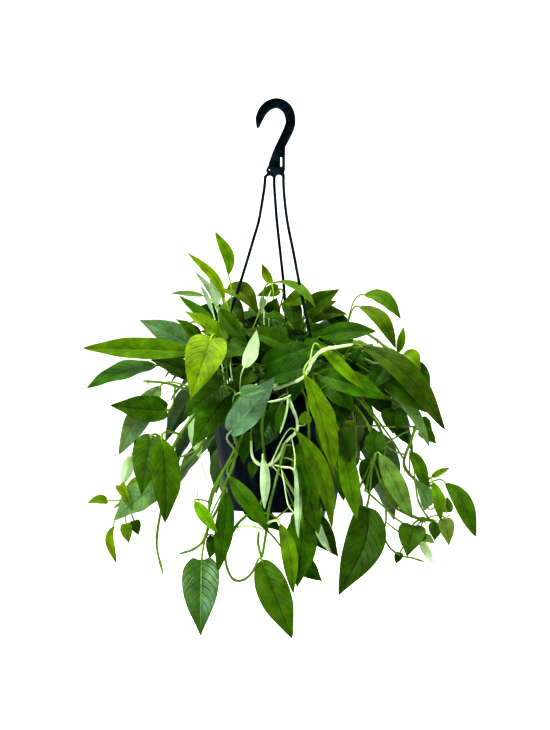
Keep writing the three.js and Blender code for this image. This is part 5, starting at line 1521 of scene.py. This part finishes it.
def blade(skin, leaf, rnd):
    """A closed leaf blade: folded, arched and quilted between its veins, thin at its margin. Here s
    runs along it from 0 to 1, u across it from -1 to 1, k is u's size and a is in millimetres."""
    length, along, face, side = leaf_axes(leaf)
    width = leaf["width"]
    arch = leaf["arch"]
    rows = int(min(max(length / BLADE_STEP, 16), 52))
    columns = 2 * int(min(max(width / BLADE_COLUMN, 4), 8)) + 1
    s = (np.linspace(0, 1, rows + 2)[1:-1] ** 1.7)[:, None]
    x = np.linspace(-1, 1, columns)[None, :]
    u = np.sign(x) * np.abs(x) ** 1.3
    k = np.abs(u)
    half = width / 2 * blade_outline(s, width / length)
    a = u * half
    lobe = LOBE * smooth(0.34, 0.5, width / length)
    e = s - lobe * (1 - s) ** 3 * np.minimum(1, (a / (0.21 * width)) ** 2)
    sickle = (rnd.uniform(-0.02, 0.02) + leaf["bend"]) * length
    size = width / USUAL_WIDTH
    fold = math.radians(leaf["fold"])
    phase = VEINS * (s - VEIN_LEAN * k - VEIN_CURVE * k * k) + VEIN_SHIFT * (u < 0)
    ends = np.clip(5 * s, 0, 1) * np.clip(4 * (1 - s), 0, 1)
    puff = PUFFS.get(leaf["tone"], PUFF) * size
    quilt = puff * (np.sin(math.pi * phase) ** 2 - 0.5) * np.minimum(1, 3 * k) * (1 - k ** 4) * ends
    waves = rnd.uniform(2.2, 3.6)
    start = rnd.uniform(0, 6.3)
    wave = np.sin(waves * 2 * math.pi * s + start + 1.9 * (u < 0))
    margin = size * rnd.uniform(0.5, 1.3) * k ** 3 * wave * ends
    height = half * math.sin(fold) * (1.35 * k - 0.35 * k * k) + quilt + margin
    twist = math.radians(rnd.uniform(-9, 9)) * (s - 0.3)[..., None]
    up = unit(face * length - along * (4 * arch * (1 - 2 * s))[..., None])
    lean = side * np.cos(twist) + up * np.sin(twist)
    up = up * np.cos(twist) - side * np.sin(twist)
    rise = 4 * arch * e * (1 - e)
    middle = leaf["base"] + along * (length * e)[..., None] + face * rise[..., None]
    middle = middle + side * (sickle * 4 * s * (1 - s) ** 1.5)[..., None]
    sheet = middle + lean * (a * math.cos(fold))[..., None] + up * height[..., None]
    thick = 0.5 * size ** 0.5 * (1 - 0.6 * k)
    midrib = np.exp(-((a / MIDRIB_WIDTH) ** 2))
    groove = 0.5 * size * midrib * (1 - 0.7 * s)
    ridge = size * midrib * (1 - 0.7 * s)
    inner = (k < 1).astype(float)
    top = sheet + up * ((thick - groove) * inner)[..., None]
    under = sheet - up * ((thick + ridge) * inner)[..., None]
    rings = np.concatenate([top, under[:, -2:0:-1]], axis=1)
    across = np.concatenate([u[0], u[0, -2:0:-1]])
    sides = rings.shape[1]
    points = np.concatenate([rings.reshape(-1, 3), [leaf["base"], leaf["tip"]]])
    maps = np.stack([np.tile(across * 0.5 + 0.5, rows), np.repeat(s[:, 0], sides)], axis=1)
    maps = np.concatenate([maps, [[0.5, 0], [0.5, 1]]])
    faces = ring_faces(rows, sides)
    first = rows * sides
    last = (rows - 1) * sides
    faces += [(first, (i + 1) % sides, i) for i in range(sides)]
    faces += [(last + i, last + (i + 1) % sides, first + 1) for i in range(sides)]
    upper = SILVER if leaf["tone"] in SILVERY else TOP
    row_slots = [upper] * (columns - 1) + [UNDER] * (columns - 1)
    colour = tone_colour(leaf["tone"], rnd)
    # A leaf turned over is paler: its underside's own colour, and painted light for the light that
    # shines through it from behind.
    if abs(leaf["roll"]) > 90:
        colour = colour + np.array(UNDER_PALE) * OVER_SHARE
    shade = 1.10 - 0.22 * maps[:, 1] + 0.10 * np.abs(2 * maps[:, 0] - 1)
    skin.add(points, faces, row_slots * (rows + 1), maps, colour * shade[:, None])
    return colour


def petiole(skin, leaf, root, colour, stem_colour):
    """The leaf's stalk: a sheath at the stem, a slim middle, a knee below the blade and its midrib."""
    length, along, face, _ = leaf_axes(leaf)
    base = leaf["base"]
    arrive = unit(along * length + face * 4 * leaf["arch"])
    span = np.linalg.norm(base - root)
    leave = root + (base - root) * 0.3 + UP * span * 0.12
    line = bezier(root, leave, base - arrive * 0.35 * span, base, PETIOLE_POINTS)
    reach = min(0.12 * length, 9)
    under = unit(face * length - along * 4 * leaf["arch"])
    line = np.concatenate([line, [base + arrive * reach * t - under * 0.6 for t in (0.35, 1)]])
    size = min(max(leaf["width"] / 27, 0.85), 1.25)
    t = np.linspace(0, 1, PETIOLE_POINTS)
    sheath = 0.55 * np.exp(-((t / 0.10) ** 2))
    knee = 0.22 * np.exp(-(((t - 0.95) / 0.06) ** 2))
    radii = size * (1.0 + sheath + knee)
    radii = np.concatenate([radii, [0.8 * size, 0.25 * size]])
    share = np.concatenate([t, [1, 1]])[:, None]
    leafy = colour * 1.25 + np.array([0.05, 0.07, 0.0])
    tube(skin, line, radii, 8, STEM_SLOT, stem_colour + (leafy - stem_colour) * share)


def kept_leaves(name, rows, leaf_of):
    corners = np.array([vert.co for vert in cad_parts[name].data.vertices]) / MM
    leaves = [kept_leaf(row, leaf_of, corners) for row in rows]
    return [leaf for leaf in leaves if leaf is not None]


def leafy_stem(name, thick, points, leaves):
    rnd = random.Random(name)
    places = stem_places(points)
    skin = Skin()
    stem_colour = STEM_COLOURS["pale" if name in PALE_STEMS else "green"] * rnd.uniform(0.88, 1.12)
    joints = []
    for leaf in leaves:
        colour = blade(skin, leaf, rnd)
        length = np.linalg.norm(leaf["tip"] - leaf["base"])
        share = leaf["root"] or petiole_share(places, leaf["base"], length)
        joints.append(share)
        petiole(skin, leaf, curve_point(points, share), colour, stem_colour)
    line = finely(points, STEM_DETAIL)
    lengths = np.linspace(0, 1, len(line))
    radii = thick * (1.1 - STEM_TAPER * lengths)
    nodes = np.array([curve_point(points, share) for share in joints])
    bare = line[14::12]
    for node in (*nodes, *bare):
        near = np.linalg.norm(line - node, axis=1)
        radii = radii + JOINT_SWELL * np.exp(-((near / JOINT_WIDTH) ** 2))
    radii[-3:] *= np.array([0.95, 0.8, 0.5])
    tube(skin, line, radii, 10, STEM_SLOT, stem_colour)
    for row in THREADS.get(name, []):
        thread(skin, *row)
    for node in (*nodes, *bare[::2]):
        if rnd.random() < ROOT_CHANCE:
            aerial_root(skin, node, rnd)
    piece = skin.piece(name + "_grown", LEAFY)
    finish_piece(piece, "foliage", name)


def thread(skin, thin, colour, route):
    """A thin stem that swells at its joints and narrows at its ends."""
    line = finely([seen(*spot) for spot in route], STEM_DETAIL)
    steps = np.arange(len(line))
    joints = np.exp(-(((steps % THREAD_JOINT) - THREAD_JOINT // 2) / 1.2) ** 2)
    radii = np.full(len(line), THREAD_WIDER * thin) + 0.25 * joints
    ends = np.minimum(1, 0.45 + 0.3 * np.minimum(steps, steps[::-1]))
    tube(skin, line, radii * ends, 8, STEM_SLOT, STEM_COLOURS[colour])


def aerial_root(skin, node, rnd):
    """A short aerial root at a joint, growing down and a little away from the stem."""
    way = unit(np.array([rnd.uniform(-0.7, 0.7), rnd.uniform(-0.8, 0.4), -1.0]))
    length = rnd.uniform(4, 9)
    bend = np.array([rnd.uniform(-1, 1), rnd.uniform(-1, 1), 0])
    line = np.array([node + way * length * t + bend * t * t for t in np.linspace(0, 1, 6)])
    tube(skin, line, [0.8, 0.75, 0.66, 0.55, 0.42, 0.2], 6, ROOT_SLOT, ROOT_BROWN)


def screen(points):
    """Where points are seen in the picture, across and down."""
    reach = (EYE_DISTANCE + points[:, 1]) / EYE_DISTANCE
    across = HOOK_ACROSS + (EYE[0] + (points[:, 0] - EYE[0]) / reach) / UNIT
    down = HOOK_DOWN - (EYE[2] + (points[:, 2] - EYE[2]) / reach) / UNIT
    return np.stack([across, down], axis=1)


def leaf_spots(leaf, rows):
    """Points spread over a blade, for telling how near it is to others."""
    length, along, face, side = leaf_axes(leaf)
    spots = []
    for s in np.linspace(0.04, 1, rows):
        half = leaf["width"] / 2 * blade_outline(min(s, 0.97), leaf["width"] / length)
        middle = leaf["base"] + along * length * s + face * 4 * leaf["arch"] * s * (1 - s)
        middle = middle + side * leaf["bend"] * length * 4 * s * (1 - s) ** 1.5
        spots += [middle - side * half, middle - side * half / 2, middle]
        spots += [middle + side * half / 2, middle + side * half]
    return np.array(spots)


def inside(places, outline):
    """Whether all the places lie inside a closed outline."""
    odd = np.zeros(len(places), bool)
    for (x0, y0), (x1, y1) in zip(outline, outline[1:] + outline[:1]):
        if y0 != y1:
            crossed = (places[:, 1] > min(y0, y1)) & (places[:, 1] <= max(y0, y1))
            odd ^= crossed & (places[:, 0] < x0 + (places[:, 1] - y0) * (x1 - x0) / (y1 - y0))
    return odd.all()


def filling_leaves(vines):
    """Small leaves that fill the crown behind the leaves in view, each clear of all the others."""
    rnd = random.Random(FILL_SEED)
    shown = [leaf for name, *_, leaves in vines if name in FRONT for leaf in leaves]
    front = np.concatenate([leaf_spots(leaf, 12) for leaf in shown])
    taken = np.concatenate([leaf_spots(leaf, 12) for *_, leaves in vines for leaf in leaves])
    stems = np.concatenate([finely(points, 5) for _, _, points, _ in vines])
    strands = np.concatenate([finely(strand_points(*strand), 5) for strand in zip(STRANDS, EAR_ANGLES)])
    taken = np.concatenate([taken, stems, strands])
    hosts = [vine for vine in vines if vine[0] in FILL_HOSTS]
    front_screen = screen(front)
    for go in range(FILL_TRIES):
        _, _, points, leaves = rnd.choice(hosts)
        root = curve_point(points, rnd.uniform(0.45, 1))
        out = outwards(rnd.uniform(0, 360))
        long = rnd.uniform(46, 84) * (1 if go < FILL_TRIES / 2 else FILL_SMALL)
        base = root + out * rnd.uniform(12, 34) + UP * rnd.uniform(2, 34)
        tip = base + unit(out * rnd.uniform(0.5, 1) + UP * rnd.uniform(-0.8, 0.5)) * long
        leaf = {
            "base": base, "tip": tip, "root": None,
            "facing": out * 0.3 + UP * 0.5 - FORWARD * rnd.uniform(0.1, 0.9),
            "width": long * rnd.uniform(0.26, 0.36), "roll": rnd.uniform(-25, 25),
            "arch": long * rnd.uniform(0.05, 0.14), "fold": rnd.uniform(8, 18),
            "tone": rnd.choice(FILL_TONES), "bend": rnd.uniform(-0.06, 0.06),
        }
        spots = leaf_spots(leaf, FILL_ROWS)
        places = screen(spots)
        if spots[:, 2].min() < FILL_LOW or not inside(places, FILL_EDGE):
            continue
        centre = len(spots) // 2
        near = taken[np.linalg.norm(taken - spots[centre], axis=1) < long]
        if len(near) and np.linalg.norm(spots[:, None] - near[None], axis=2).min() < FILL_GAP:
            continue
        close = np.abs(front_screen - places[centre]).max(axis=1) < long
        over = np.linalg.norm(places[:, None] - front_screen[None, close], axis=2) < FILL_BESIDE
        if (over & (front[None, close, 1] > spots[:, None, 1] - FILL_BEHIND)).any():
            continue
        leaves.append(leaf)
        taken = np.concatenate([taken, spots])


def plant():
    vines = []
    for name, angle, radius, over, thick, route, rows in VINES:
        points = [seen(*spot) for spot in route]
        reach = math.hypot(points[0][0] - POT_X, points[0][1])
        between = max(radius, (radius + reach) / 2)
        points = routed(radius, angle, [round_pot(between, angle, RIM_TOP + over), *points])
        small = [table_leaf(row, (0, 0, 1)) for row in SMALL_LEAVES.get(name, [])]
        vines.append((name, thick, points, kept_leaves(name, rows, table_leaf) + small))
    for index, (name, angle, radius, count, length) in enumerate(CROWN):
        route = []
        for out, turn, rise in CROWN_ROUTE:
            route.append(round_pot(radius + out, angle + turn, RIM_TOP + rise))
        points = routed(radius, angle, route)
        rows = crown_leaves(angle, stem_places(points), count, length, index)
        vines.append((name, CROWN_THICK, points, kept_leaves(name, rows, back_leaf)))
    for index, (name, angle, joints, length, sway) in enumerate(BACK):
        over = round_pot((BACK_HOLE + BACK_REACH) / 2 + 2, angle, RIM_TOP + BACK_OVER)
        points = routed(BACK_HOLE, angle, [over, *back_route(angle, joints, sway)])
        rows = back_leaves(angle, joints, length, sway, index)
        vines.append((name, BACK_THICK, points, kept_leaves(name, rows, back_leaf)))
    filling_leaves(vines)
    for vine in vines:
        leafy_stem(*vine)


# Studio, in metres
GROUND = -0.72
GROUND_FLAT = 3.2
GROUND_CURVE = 2.2
GROUND_TOP = 5.0
MIDDLE = (0, 0, -0.3)


def stage():
    """A pale floor that curves up all round, far enough out to leave room for any camera."""
    profile = [(0.0, GROUND), (GROUND_FLAT, GROUND)]
    for turn in np.linspace(0, math.pi / 2, 16)[1:]:
        rise = GROUND_CURVE * (1 - math.cos(turn))
        profile.append((GROUND_FLAT + GROUND_CURVE * math.sin(turn), GROUND + rise))
    profile.append((GROUND_FLAT + GROUND_CURVE, GROUND_TOP))
    skin = Skin()
    lathe(skin, [(radius / MM, z / MM) for radius, z in profile], 96)
    # The floor also glows faintly, though it is no lamp: this keeps it white all round and adds some
    # light to the plant.
    net = Net("studio_pale", 0.9, Specular_IOR_Level=0.1, Emission_Strength=0.2)
    net.put(net.shader.inputs["Emission Color"], (1.0, 1.0, 1.0))
    soft = net.grain(net.place(), 1.5)
    net.colour(net.mixed(soft, (0.88, 0.88, 0.88), (0.92, 0.92, 0.92)))
    skin.piece("studio_floor", [net.material])


def softbox(name, place, width, height, power):
    """A rectangular light that points at the middle of the plant."""
    light = bpy.data.lights.new(name, "AREA")
    light.shape = "RECTANGLE"
    light.size = width
    light.size_y = height
    light.energy = power
    lamp = linked(name, light)
    lamp.location = place
    lamp.rotation_euler = (Vector(MIDDLE) - Vector(place)).to_track_quat("-Z", "Y").to_euler()


def studio():
    world = bpy.data.worlds.new("studio")
    world.use_nodes = True
    background = world.node_tree.nodes["Background"]
    background.inputs["Color"].default_value = (1, 1, 1, 1)
    background.inputs["Strength"].default_value = 0.3
    bpy.context.scene.world = world
    softbox("key", (-1.0, -1.5, 1.4), 0.9, 0.9, 60)
    softbox("fill", (1.7, -1.3, 0.5), 1.0, 1.4, 8)
    softbox("top", (0.1, 0.2, 1.8), 1.2, 1.2, 45)
    softbox("back", (-0.6, 1.9, 0.6), 1.4, 1.4, 8)


def camera():
    lens = bpy.data.cameras.new("camera")
    lens.lens = LENS
    lens.sensor_width = SENSOR
    eye = linked("camera", lens)
    eye.location = EYE * MM
    eye.rotation_euler = (math.pi / 2, 0, 0)
    bpy.context.scene.camera = eye


camera()
stage()
studio()
view = bpy.context.scene.view_settings
view.view_transform = "Standard"
view.look = "Very High Contrast"
hanger()
pot()
potting_mix(random.Random(7))
plant()
